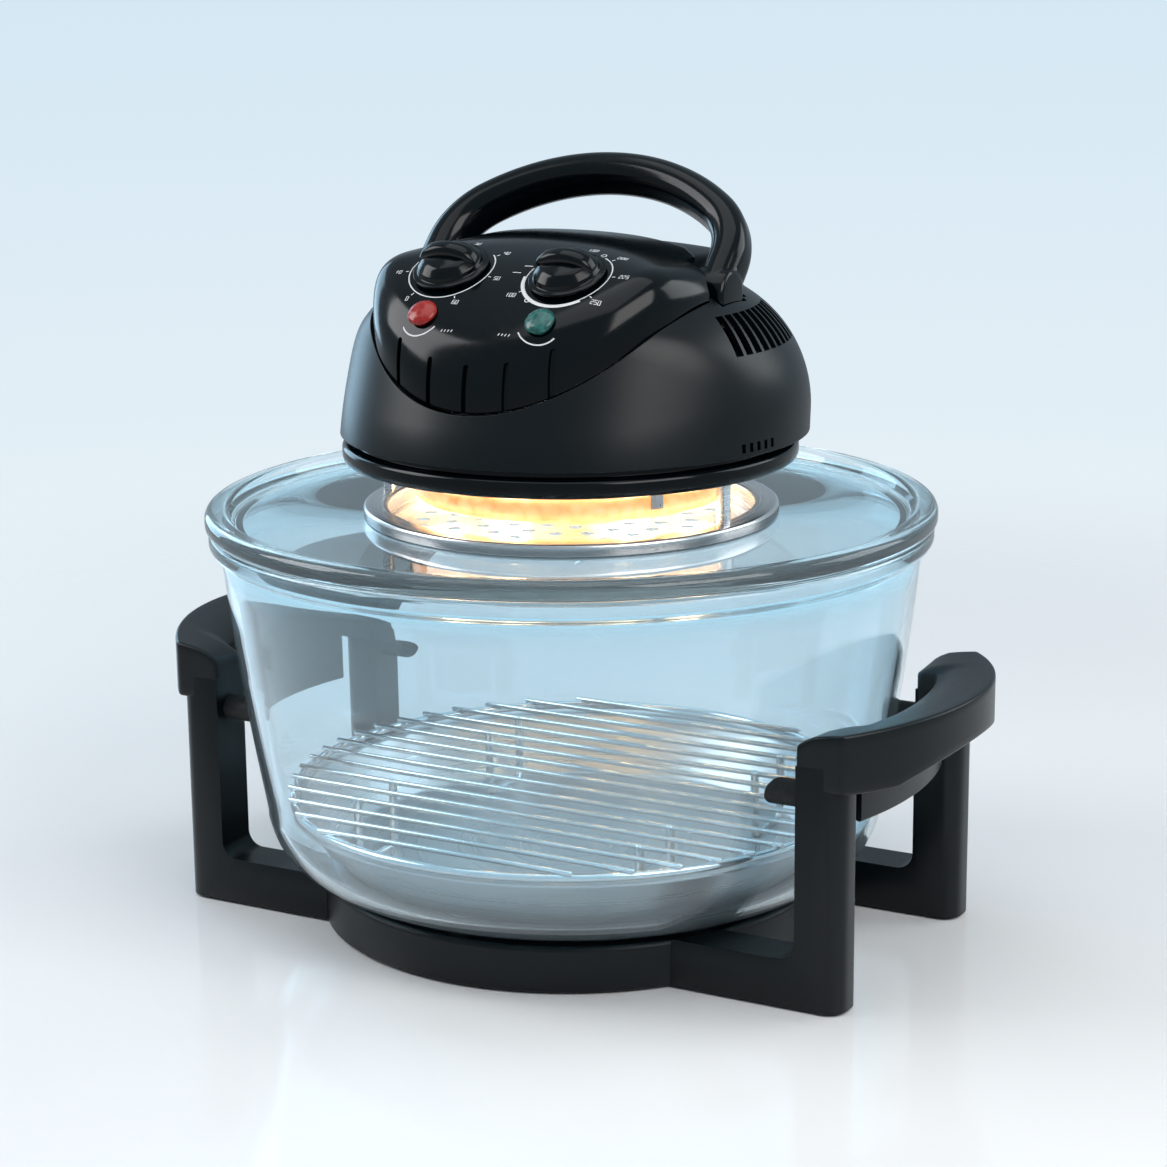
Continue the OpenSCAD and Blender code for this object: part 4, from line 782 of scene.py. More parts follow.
@dataclass
class Stand:
    """The base ring, its four legs and the two grips."""

    ring_r: float = 120.0
    ring_in_r: float = 90.0
    ring_h: float = 22.5
    low: float = 1.2
    wall: float = 3.0
    leg_y: float = 67.0
    leg_half: float = 11.0
    arm_from: float = 60.0
    arm_h: float = 23.0
    post_in: float = 151.0
    post_out: float = 173.0
    post_top: float = 112.0
    post_round: float = 9.0
    fillet: float = 8.0
    grip_r: float = 115.0
    grip_reach: float = 203.5
    grip_in_r: float = 171.7
    grip_low: float = 101.1
    grip_arch: float = 110.0
    arch_half: float = 55.0
    grip_inner_top: float = 125.0
    grip_top: float = 130.0
    grip_drop: float = 4.0
    end_inset: float = 0.02
    end_step: float = 3.2
    fill_from: float = 51.0
    fill_over: float = 6.0
    apron_low: float = 80.0
    apron_top: float = 116.0
    apron_half: float = 46.0
    apron_t: float = 3.3

    def build(self) -> None:
        """Makes and dresses the stand's pieces."""
        dress(self.base_ring(), "black_moulding", "stand", "base_ring")
        for x, side in ((1, "right"), (-1, "left")):
            for y, end in ((1, "rear"), (-1, "front")):
                leg = self.leg(f"leg_{end}_{side}_shell", x, y)
                dress(leg, "black_moulding", "stand", f"leg_{end}_{side}")
            dress(self.grip(f"grip_{side}_shell", x), "black_moulding", "stand", f"grip_{side}")

    def base_ring(self) -> Piece:
        """The ring, with a channel below: a rounded section turned about the axis."""
        top, channel = self.ring_h, self.ring_h - self.wall
        return ring_piece(
            "base_ring_shell",
            [
                (self.ring_in_r, self.low, 0.4), (self.ring_in_r + self.wall, self.low, 0.4),
                (self.ring_in_r + self.wall, channel, 1.0), (self.ring_r - self.wall, channel, 1.0),
                (self.ring_r - self.wall, self.low, 0.4), (self.ring_r, self.low, 0.6),
                (self.ring_r, top, 2.6), (self.ring_in_r, top, 2.6),
            ],
        )

    def leg(self, name: str, x: int, y: int) -> Piece:
        """One leg: an upright L carried across its width.

        The outline lies in X and Z. Across the width, at w from the leg's middle, an outline point
        moves in by (r - sqrt(r^2 - (|w| - flat)^2)) * its share of the way out over the post, and the
        arm's inner end lies on the base ring: x = sqrt(ring^2 - y^2).

        Args:
            name: The object's name.
            x: 1 for the right-hand side, -1 for the left.
            y: 1 for the rear, -1 for the front.

        Returns:
            The new object.
        """
        outline = rounded(
            [
                (self.arm_from, self.low, 0.0), (self.post_out, self.low, 0.0),
                (self.post_out, self.post_top, 0.0), (self.post_in, self.post_top, 0.0),
                (self.post_in, self.arm_h, self.fillet), (self.arm_from, self.arm_h, 0.0),
            ],
            steps=10,
        )
        flat = self.leg_half - self.post_round
        lean = np.radians(np.linspace(0.0, 90.0, 9))
        half = flat + self.post_round * np.sin(lean)
        width = np.concatenate([-half[::-1], half])
        pull = self.post_round * (1.0 - np.cos(np.concatenate([lean[::-1], lean])))
        out, up = outline[:, 0], outline[:, 1]
        share = np.clip((out - self.post_in) / (self.post_out - self.post_in), 0.0, 1.0)
        across = self.leg_y + width
        reach = out[None] - pull[:, None] * share[None]
        ring = np.sqrt((self.ring_r + SEAT_GAP) ** 2 - across**2)
        reach = np.maximum(reach, ring[:, None])
        points = np.stack([x * reach, y * (across[:, None] + 0.0 * reach), up + 0.0 * reach], -1)
        patch = Patchwork().grid(points, wrap_columns=True)
        for end in (points[0], points[-1]):
            patch.cap(end, (x * (self.post_in + 3.0), end[0, 1], self.arm_h * 0.6))
        piece = patch.mesh(name)
        bevel(piece, 1.6, 4)
        settle(piece)
        return piece

    def grip(self, name: str, x: int) -> Piece:
        """A grip: a crescent between the bowl's side and an outer arc, on the two posts.

        In plan, a point at y lies between inner(y) = sqrt(inner radius^2 - y^2), which steps in to the
        post's inner face at the ends, and outer(y) = centre + sqrt(outer radius^2 - y^2). The top rises
        evenly with the distance from the axis, less drop * (1 - 2 share)^2 on the inner half, and the
        underside is an arch over y.

        Args:
            name: The object's name.
            x: 1 for the right-hand side, -1 for the left.

        Returns:
            The new object.
        """
        end = self.leg_y + self.leg_half - self.end_inset
        first = end - self.end_step
        across = np.concatenate([[-end], np.linspace(-first, first, 61), [end]])
        outer = self.grip_reach - self.grip_r + np.sqrt(self.grip_r**2 - across**2)
        inner = np.sqrt(self.grip_in_r**2 - across**2)
        step = np.clip((np.abs(across) - self.fill_from) / self.fill_over, 0.0, 1.0)
        inner = inner - (inner - self.post_in - self.end_inset) * step * step * (3.0 - 2.0 * step)
        share = np.array([0.0, 0.18, 0.36, 0.62, 0.82, 1.0])[:, None]
        reach = inner + (outer - inner) * share
        slope = (self.grip_top - self.grip_inner_top) / (self.grip_reach - self.grip_in_r)
        top = self.grip_inner_top + slope * (np.hypot(reach, across) - self.grip_in_r)
        top = top - self.grip_drop * np.maximum(1.0 - share / 0.5, 0.0) ** 2
        rise = self.grip_arch - self.grip_low
        arch_r = (self.arch_half**2 + rise**2) / (2.0 * rise)
        under = self.grip_arch - arch_r + np.sqrt(np.maximum(arch_r**2 - across**2, 0.0))
        low = np.maximum(under, self.grip_low) + 0.0 * reach

        def surface(height: Array) -> Array:
            """Points over the plan at a height."""
            return np.stack([x * reach, across + 0.0 * reach, height], -1)

        upper, lower = surface(top), surface(low)
        rise_share = np.array([0.0, 0.2, 0.5, 0.8, 1.0])[:, None, None]
        patch = Patchwork().grid(upper).grid(lower)
        for edge in (0, -1):
            patch.grid(lower[edge] + (upper[edge] - lower[edge]) * rise_share)
            patch.grid(lower[:, edge] + (upper[:, edge] - lower[:, edge]) * rise_share)
        piece = patch.mesh(name)
        bevel(piece, 2.2, 4, 30.0)
        settle(piece)
        apron = self._apron(x)
        combine(piece, [apron], "UNION")
        return piece

    def _apron(self, x: int) -> Piece:
        """The wall below a grip that faces the bowl: an arc of a thin ring.

        Args:
            x: 1 for the right-hand side, -1 for the left.

        Returns:
            The new object.
        """
        reach = math.asin(self.apron_half / self.grip_in_r)
        angle = np.linspace(-reach, reach, 41)
        inner, outer = self.grip_in_r + self.end_inset, self.grip_in_r + self.apron_t
        section = rounded(
            [
                (inner, self.apron_low, 1.2), (outer, self.apron_low, 1.2),
                (outer, self.apron_top, 0.0), (inner, self.apron_top, 0.0),
            ]
        )
        radius, height = section[:, 0][None], section[:, 1][None]
        turned = angle[:, None]
        points = np.stack([x * radius * np.cos(turned), radius * np.sin(turned), height + 0.0 * turned], -1)
        return Patchwork().tube(points).mesh("apron")


# ---------------------------------------------------------------- bowl, tray and rack


@dataclass
class Bowl:
    """The glass bowl, a wall of even thickness with a rolled rim."""

    low: float = 24.8
    floor_r: float = 111.5
    corner_r: float = 35.0
    flare: float = 16.0
    side_h: float = 115.2
    rim_h: float = 16.0
    wall: float = 4.5
    bead: float = 6.0

    def build(self) -> None:
        """Makes and dresses the bowl."""
        patch = Patchwork().grid(revolve(self.section(), 288), wrap_columns=True)
        dress(patch.mesh("bowl_glass", sharp=60.0), "clear_glass", "bowl", "glass_bowl")

    def line(self, inset: float) -> Array:
        """A side of the bowl's section, from the axis out and up to the neck.

        The corner is a quarter circle, and the side's radius grows by flare * u (1.28 - 0.28 u) over
        its height.

        Args:
            inset: Distance inside the outer face.

        Returns:
            Points as radius and height.
        """
        corner_z = self.low + self.corner_r
        floor = np.array([[0.0, self.low + inset], [self.floor_r * 0.5, self.low + inset]])
        angle = np.radians(np.linspace(-90.0, 0.0, 19))[:, None]
        corner = np.hstack(
            [
                self.floor_r + (self.corner_r - inset) * np.cos(angle),
                corner_z + (self.corner_r - inset) * np.sin(angle),
            ]
        )
        u = np.linspace(0.0, 1.0, 15)[1:, None]
        side_r = self.floor_r + self.corner_r - inset + self.flare * u * (1.28 - 0.28 * u)
        return np.concatenate([floor, corner, np.hstack([side_r, corner_z + self.side_h * u])])

    def section(self) -> Array:
        """The whole section: outer side, rolled rim and inner side.

        Returns:
            Points as radius and height.
        """
        neck_z = self.low + self.corner_r + self.side_h
        neck_r = self.floor_r + self.corner_r + self.flare
        top = neck_z + self.rim_h - SEAT_GAP
        rim = rounded(
            [
                (neck_r, neck_z, 0.0), (neck_r + 0.8, neck_z + 5.6, 3.0),
                (neck_r + self.bead, neck_z + 8.0, 3.4), (neck_r + self.bead, top, 2.4),
                (neck_r - self.wall, top, 1.4), (neck_r - self.wall, neck_z, 0.0),
            ],
            closed=False,
            steps=8,
        )
        return np.concatenate([self.line(0.0)[:-1], rim, self.line(self.wall)[::-1][1:]])


@dataclass
class Tray:
    """The drip tray, pressed from thin sheet."""

    low: float = 29.3
    floor_r: float = 110.0
    mouth_r: float = 131.0
    lip_r: float = 135.0
    height: float = 28.0
    sheet: float = 0.9
    swage: float = 1.2
    swage_r: float = 48.0

    def build(self) -> None:
        """Makes and dresses the tray."""
        low, top = self.low, self.low + self.height
        floor, raised = low + self.sheet, low + self.swage
        over_swage = raised + self.sheet
        over = rounded(
            [
                (0.0, floor, 0.0), (self.swage_r - 2.0, floor, 4.0), (self.swage_r, over_swage, 3.0),
                (self.floor_r - 3.0, over_swage, 3.0), (self.floor_r, floor, 4.0),
                (self.floor_r + 3.0, floor, 5.0), (self.mouth_r - 1.0, top, 3.0), (self.lip_r, top, 0.4),
            ],
            closed=False,
        )
        under = rounded(
            [
                (self.lip_r, top - self.sheet, 0.4), (self.mouth_r, top - self.sheet, 3.0),
                (self.floor_r + 3.8, low, 5.0), (self.floor_r, low, 4.0), (self.floor_r - 3.0, raised, 3.0),
                (self.swage_r, raised, 3.0), (self.swage_r - 2.0, low, 4.0), (0.0, low, 0.0),
            ],
            closed=False,
        )
        section = np.concatenate([over, under])
        patch = Patchwork().grid(revolve(section, 240), wrap_columns=True)
        dress(patch.mesh("tray_sheet"), "tray_steel", "tray", "drip_tray")


@dataclass
class Rack:
    """The wire rack: a ring, straight bars across it and four pairs of legs."""

    ring_r: float = 134.0
    ring_z: float = 60.7
    ring_wire: float = 2.0
    bar_wire: float = 1.3
    bar_z: float = 63.4
    bar_reach: float = 136.0
    pitch: float = 15.0
    bars: int = 8
    leg_x: float = 74.0
    foot_z: float = 30.2

    def build(self) -> None:
        """Makes and dresses the rack."""
        patch = Patchwork()
        section = circle(self.ring_wire, 14) + np.array([self.ring_r, self.ring_z])
        patch.grid(revolve(section, 200), True, True)
        for k in range(-self.bars, self.bars + 1):
            y = k * self.pitch
            half = math.sqrt(self.bar_reach**2 - y**2)
            line = np.linspace((-half, y, self.bar_z), (half, y, self.bar_z), 3)
            wire(patch, line, self.bar_wire, (0.0, 0.0, 1.0))
        for x in (-self.leg_x, self.leg_x):
            for y in (-4.0 * self.pitch, 4.0 * self.pitch):
                self.leg(patch, x, y)
        dress(patch.mesh("rack_wires"), "chromed_wire", "rack", "wire_rack")

    def leg(self, patch: Patchwork, x: float, y: float) -> None:
        """Adds a leg: one wire bent into a U, from a bar down, across and up to the next bar but one.

        Args:
            patch: The rack's patchwork.
            x: Its place along the bars.
            y: Its place across them.
        """
        low, top, half = self.foot_z + self.ring_wire, self.bar_z, self.pitch
        near, far = y - half, y + half
        path = rounded([(near, top, 0.0), (near, low, 4.0), (far, low, 4.0), (far, top, 0.0)], closed=False)
        points = np.column_stack([np.full(len(path), x), path])
        wire(patch, points, self.ring_wire, (1.0, 0.0, 0.0))


# ---------------------------------------------------------------- lid and heater


@dataclass
class Lid:
    """The glass lid, its clamp rings, the heater and the collar above it."""

    glass_r: float = 170.0
    glass_low: float = 188.5
    glass_top: float = 193.5
    rim_low: float = 191.0
    rim_top: float = 200.0
    rim_w: float = 10.0
    hole_r: float = 92.0
    inner_r: float = 155.0
    clamp_in: float = 85.0
    clamp_r: float = 96.7
    clamp_top: float = 199.1
    clamp_low: float = 185.1
    sheet: float = 1.2
    lamp_r: float = 68.0
    lamp_z: float = 207.6
    tube: float = 5.5
    sweep_angle: float = 318.0
    glows: int = 6
    glow_r: float = 58.0
    glow_z: float = 200.0
    glow_power: float = 0.16
    collar_r: float = 105.7
    collar_low: float = 220.6
    collar_top: float = 229.1
    neck_r: float = 100.0
    neck_top: float = 237.6
    neck_wall: float = 3.0
    seat_in: float = 86.5
    reflector_z: float = 223.2
    dish_r: float = 94.0
    dish_deep: float = 4.0
    dish_sheet: float = 0.8
    dish_hole_r: float = 12.0
    dish_flat_r: float = 80.0
    post_r: float = 90.0
    post_half: float = 2.5
    post_angles: tuple[float, ...] = (-12.0, -168.0, 90.0)

    def build(self) -> None:
        """Makes and dresses the lid's pieces."""
        dress(self.glass(), "clear_glass", "lid", "glass_lid")
        dress(self.upper_clamp(), "polished_steel", "lid", "clamp_ring_upper")
        dress(self.lower_clamp(), "polished_steel", "lid", "clamp_ring_lower")
        dress(self.posts(), "polished_steel", "lid", "head_posts")
        dress(self.collar(), "gloss_black", "lid", "collar")
        dress(self.reflector(), "bright_aluminium", "lid", "reflector")
        self.lamp()

    def glass(self) -> Piece:
        """The lid's glass: a flat ring with a thick rolled rim, turned about the axis."""
        rim_in, seat = self.glass_r - self.rim_w, self.rim_low + SEAT_GAP
        return ring_piece(
            "lid_glass",
            [
                (self.hole_r, self.glass_low, 0.6), (self.inner_r - 2.0, self.glass_low, 1.6),
                (self.inner_r + 1.0, seat, 1.0), (self.glass_r, seat, 2.4),
                (self.glass_r, self.rim_top, 4.0), (rim_in, self.rim_top, 3.4),
                (rim_in - 3.0, self.glass_top, 3.0), (self.hole_r, self.glass_top, 0.6),
            ],
            288,
        )

    def upper_clamp(self) -> Piece:
        """The upper clamp ring: a pressed section turned about the axis.

        Returns:
            The new object.
        """
        seat, under = self.glass_top + SEAT_GAP, self.clamp_top - self.sheet
        tube, rim = self.clamp_in + self.sheet, self.clamp_r - self.sheet
        return ring_piece(
            "clamp_upper_sheet",
            [
                (self.clamp_in, self.clamp_low, 0.3), (tube, self.clamp_low, 0.3), (tube, under, 0.6),
                (rim, under, 0.8), (rim, seat, 0.3), (self.clamp_r, seat, 0.3),
                (self.clamp_r, self.clamp_top, 1.8), (self.clamp_in, self.clamp_top, 1.4),
            ],
        )

    def lower_clamp(self) -> Piece:
        """The lower clamp ring: a pressed section turned about the axis."""
        tube, seat = self.clamp_in + self.sheet + SEAT_GAP, self.glass_low - SEAT_GAP
        return ring_piece(
            "clamp_lower_sheet",
            [
                (tube, self.clamp_low, 0.3), (tube + self.sheet, self.clamp_low, 0.3),
                (tube + self.sheet, seat - self.sheet, 0.8), (self.clamp_r, seat - self.sheet, 0.4),
                (self.clamp_r, seat, 0.4), (tube, seat, 0.3),
            ],
        )

    def posts(self) -> Piece:
        """The three square posts, set round the heater.

        Returns:
            The new object.
        """
        patch = Patchwork()
        half, edge = self.post_half, 0.9
        square = [(-half, -half, edge), (half, -half, edge), (half, half, edge), (-half, half, edge)]
        corners = rounded(square, steps=3)
        for angle in np.radians(self.post_angles):
            c, s = math.cos(angle), math.sin(angle)
            out = corners[:, 0] + self.post_r
            plan = np.column_stack([c * out - s * corners[:, 1], s * out + c * corners[:, 1]])
            prism(patch, plan, self.clamp_top + SEAT_GAP, self.collar_low - SEAT_GAP)
        return patch.mesh("head_posts_bar")

    def collar(self) -> Piece:
        """The collar: a band, a neck and a seat for the reflector, turned about the axis.

        Returns:
            The new object.
        """
        inner, seat_r, seat = self.seat_in, self.dish_r + SEAT_GAP, self.reflector_z - SEAT_GAP
        neck_in = self.neck_r - self.neck_wall
        return ring_piece(
            "collar_ring",
            [
                (inner, self.collar_low, 0.6), (self.collar_r, self.collar_low, 2.6),
                (self.collar_r, self.collar_top, 2.4), (self.neck_r, self.collar_top, 0.8),
                (self.neck_r, self.neck_top, 0.4), (neck_in, self.neck_top, 0.4),
                (neck_in, self.collar_top, 0.4), (seat_r, self.collar_top, 0.4),
                (seat_r, seat, 0.2), (inner, seat, 0.2),
            ],
        )

    def reflector(self) -> Piece:
        """The reflector: a shallow dish with a hole for the shaft, turned about the axis.

        Returns:
            The new object.
        """
        low, seat, t = self.reflector_z - self.dish_deep, self.reflector_z, self.dish_sheet
        hole, flat, slope = self.dish_hole_r, self.dish_flat_r, self.seat_in
        return ring_piece(
            "reflector_dish",
            [
                (hole, low, 0.1), (flat, low, 2.0), (slope - 0.2, seat, 2.0), (self.dish_r, seat, 0.1),
                (self.dish_r, seat + t, 0.1), (slope - 0.6, seat + t, 2.0), (flat - 0.2, low + t, 2.0),
                (hole, low + t, 0.1),
            ],
            200,
        )

    def lamp(self) -> None:
        """The lamp's tube, round all but a gap at the back, and the warm light that it gives."""
        half, front = math.radians(self.sweep_angle) / 2.0, math.radians(-90.0)
        angle = np.linspace(front - half, front + half, 181)
        level = np.full(len(angle), self.lamp_z)
        line = np.column_stack([self.lamp_r * np.cos(angle), self.lamp_r * np.sin(angle), level])
        tube = Patchwork()
        wire(tube, line, self.tube, (0.0, 0.0, 1.0), 24)
        dress(tube.mesh("lamp_tube"), "lamp_quartz", "lid", "halogen_lamp")
        for k in range(self.glows):
            turn = front + k * TURN / self.glows
            data = bpy.data.lights.new(f"lamp_glow_{k}", "POINT")
            data.energy = self.glow_power
            data.color = (1.0, 0.66, 0.34)
            data.shadow_soft_size = 0.008
            light = bpy.data.objects.new(f"lamp_glow_{k}", data)
            place = (self.glow_r * math.cos(turn), self.glow_r * math.sin(turn), self.glow_z)
            light.location = Vector(place) * MM
            bpy.context.scene.collection.objects.link(light)
            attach(light, "lid")


# ---------------------------------------------------------------- head


@dataclass
class HeadForm:
    """Distances outside the head's forms, which the housing and the panel share."""

    foot_z: float = 232.6
    dome_back: float = 4.0
    dome_lean: float = 5.0
    dome_r: float = 109.0
    wall_h: float = 13.2
    curve_r: float = 61.5
    curve_end: float = 67.7
    shoulder_r: float = 28.0
    dome_h: float = 72.2
    drum_y: float = 13.2
    drum_r: float = 112.4
    drum_lean: float = 21.0
    crown_z: float = 324.6
    crown_y: float = 3.0
    long_r: float = 127.0
    cross_r: float = 230.0
    front_r: float = 87.4
    front_y: float = -8.0
    side_r: float = 118.0
    side_x: float = 38.7
    side_y: float = -15.0
    seam_r: float = 94.0
    seam_z: float = 349.0
    pivot_y: float = 2.0
    pivot_z: float = 299.1
    hump_half: float = 62.0
    hump_r: float = 52.0
    hump_drop: float = 3.2
    hump_front: float = -12.0
    hump_foot: float = 270.0
    rear_x: tuple[float, float] = (55.0, 78.0)
    rear_y: tuple[float, float] = (10.0, -14.0)
    housing_soft: float = 3.0
    crown_soft: float = 4.0
    wall_soft: float = 8.0
    brow: float = 13.0
    dial_x: float = 29.6
    dial_y: float = 53.9
    lens_y: float = 79.2

    def dome(self, points: Array) -> Array:
        """Distance outside the leaning dome: wall, side curve, shoulder and top, by their sectors.

        Args:
            points: The points.

        Returns:
            A distance for each point, in millimetres.
        """
        p = about_x(points, (0.0, self.dome_back, self.foot_z), self.dome_lean)
        r, z = np.hypot(p[..., 0], p[..., 1]), p[..., 2]
        end = math.radians(self.curve_end)
        curve_c = self.dome_r - self.curve_r
        shoulder_c = curve_c + (self.curve_r - self.shoulder_r) * math.cos(end)
        shoulder_z = self.dome_h - self.shoulder_r
        wall = r - self.dome_r
        curve = np.hypot(r - curve_c, z - self.wall_h) - self.curve_r
        shoulder = np.hypot(r - shoulder_c, z - shoulder_z) - self.shoulder_r
        on_curve = np.arctan2(z - self.wall_h, r - curve_c) < end
        outer = np.where(z < self.wall_h, wall, np.where(on_curve, curve, shoulder))
        return np.where((r < shoulder_c) & (z > self.wall_h), z - self.dome_h, outer)

    def drum(self, points: Array) -> Array:
        """Distance outside the front's drum, whose axis leans back."""
        p = about_x(points, (0.0, self.drum_y, self.foot_z), self.drum_lean)
        return np.hypot(p[..., 0], p[..., 1]) - self.drum_r

    def crown(self, points: Array) -> Array:
        """Distance outside the crown: a long cylinder each way, with their corner rounded.

        Args:
            points: The points.

        Returns:
            A distance for each point, in millimetres.
        """
        long = disc_distance(points, (1, 2), (self.crown_y, self.crown_z - self.long_r), self.long_r)
        cross = disc_distance(points, (0, 2), (0.0, self.crown_z - self.cross_r), self.cross_r)
        return soft_max(long, cross, self.crown_soft)

    def hump(self, points: Array) -> Array:
        """Distance outside the hump behind the panel: its top, back and sides, with their corners rounded.

        Args:
            points: The points.

        Returns:
            A distance for each point, in millimetres.
        """
        x, y, z = points[..., 0], points[..., 1], points[..., 2]
        back = disc_distance(points, (1, 2), (self.pivot_y, self.pivot_z), self.hump_r)
        top = soft_max(self.crown(points) + self.hump_drop, back, 6.0)
        sides = soft_max(np.abs(x) - self.hump_half, self.hump_front - y, 4.0)
        return np.maximum(soft_max(top, sides, 5.0), self.hump_foot - z)

    def housing(self, points: Array) -> Array:
        """Distance outside the housing: dome within drum, and the hump on it."""
        body = soft_max(self.dome(points), self.drum(points), self.housing_soft)
        return soft_min(body, self.hump(points), self.housing_soft)

    def panel(self, points: Array) -> Array:
        """Distance outside the panel's form: front and side walls under the crown, with a soft brow.

        Args:
            points: The points.

        Returns:
            A distance for each point, in millimetres.
        """
        front = disc_distance(points, (0, 1), (0.0, self.front_y), self.front_r)
        right = disc_distance(points, (0, 1), (-self.side_x, self.side_y), self.side_r)
        left = disc_distance(points, (0, 1), (self.side_x, self.side_y), self.side_r)
        walls = soft_max(front, np.maximum(left, right), self.wall_soft)
        return soft_max(walls, self.crown(points), self.brow)

    def zone(self, points: Array, gap: float = 0.0) -> Array:
        """Distance outside the panel's part of the head: below its lower edge or behind its rear edge.

        Args:
            points: The points.
            gap: How far the edges are moved out.

        Returns:
            A distance for each point, in millimetres.
        """
        x, y = np.abs(points[..., 0]), points[..., 1]
        seam = disc_distance(points, (0, 2), (0.0, self.seam_z), self.seam_r)
        rear = y - np.interp(x, self.rear_x, self.rear_y)
        return np.maximum(seam, rear) - gap

    def on_panel(self, points: Array, normal: Array) -> Array:
        """Points moved along a normal onto the panel, by halving the distance.

        Args:
            points: Points near the panel, with the shape ..., 3.
            normal: The direction to move in.

        Returns:
            Points on the panel.
        """
        low, high = np.full(points.shape[:-1], -8.0), np.full(points.shape[:-1], 8.0)
        rise = halved(lambda h: self.panel(points + normal * h[..., None]) < 0.0, low, high)[1]
        return points + normal * rise[..., None]


@dataclass
class Face:
    """A place on the panel that leans with it.

    Attributes:
        x: Its distance right of the middle.
        y: Its distance in front of the crown.
        form: The head's forms.
    """

    x: float
    y: float
    form: HeadForm

    def __post_init__(self) -> None:
        """Works out the lean, the middle and the normal from the crown's curve."""
        sine = (self.form.crown_y + self.y) / self.form.long_r
        self.lean = math.degrees(math.asin(sine))
        height = self.form.crown_z - self.form.long_r * (1.0 - math.cos(math.asin(sine)))
        self.middle = np.array([self.x, -self.y, height])
        self.normal = np.array([0.0, -sine, math.cos(math.asin(sine))])

    def place(self, points: Array) -> Array:
        """Points of the face's own frame, with z along its normal, put in the oven's frame."""
        return from_x(points, self.middle, -self.lean)


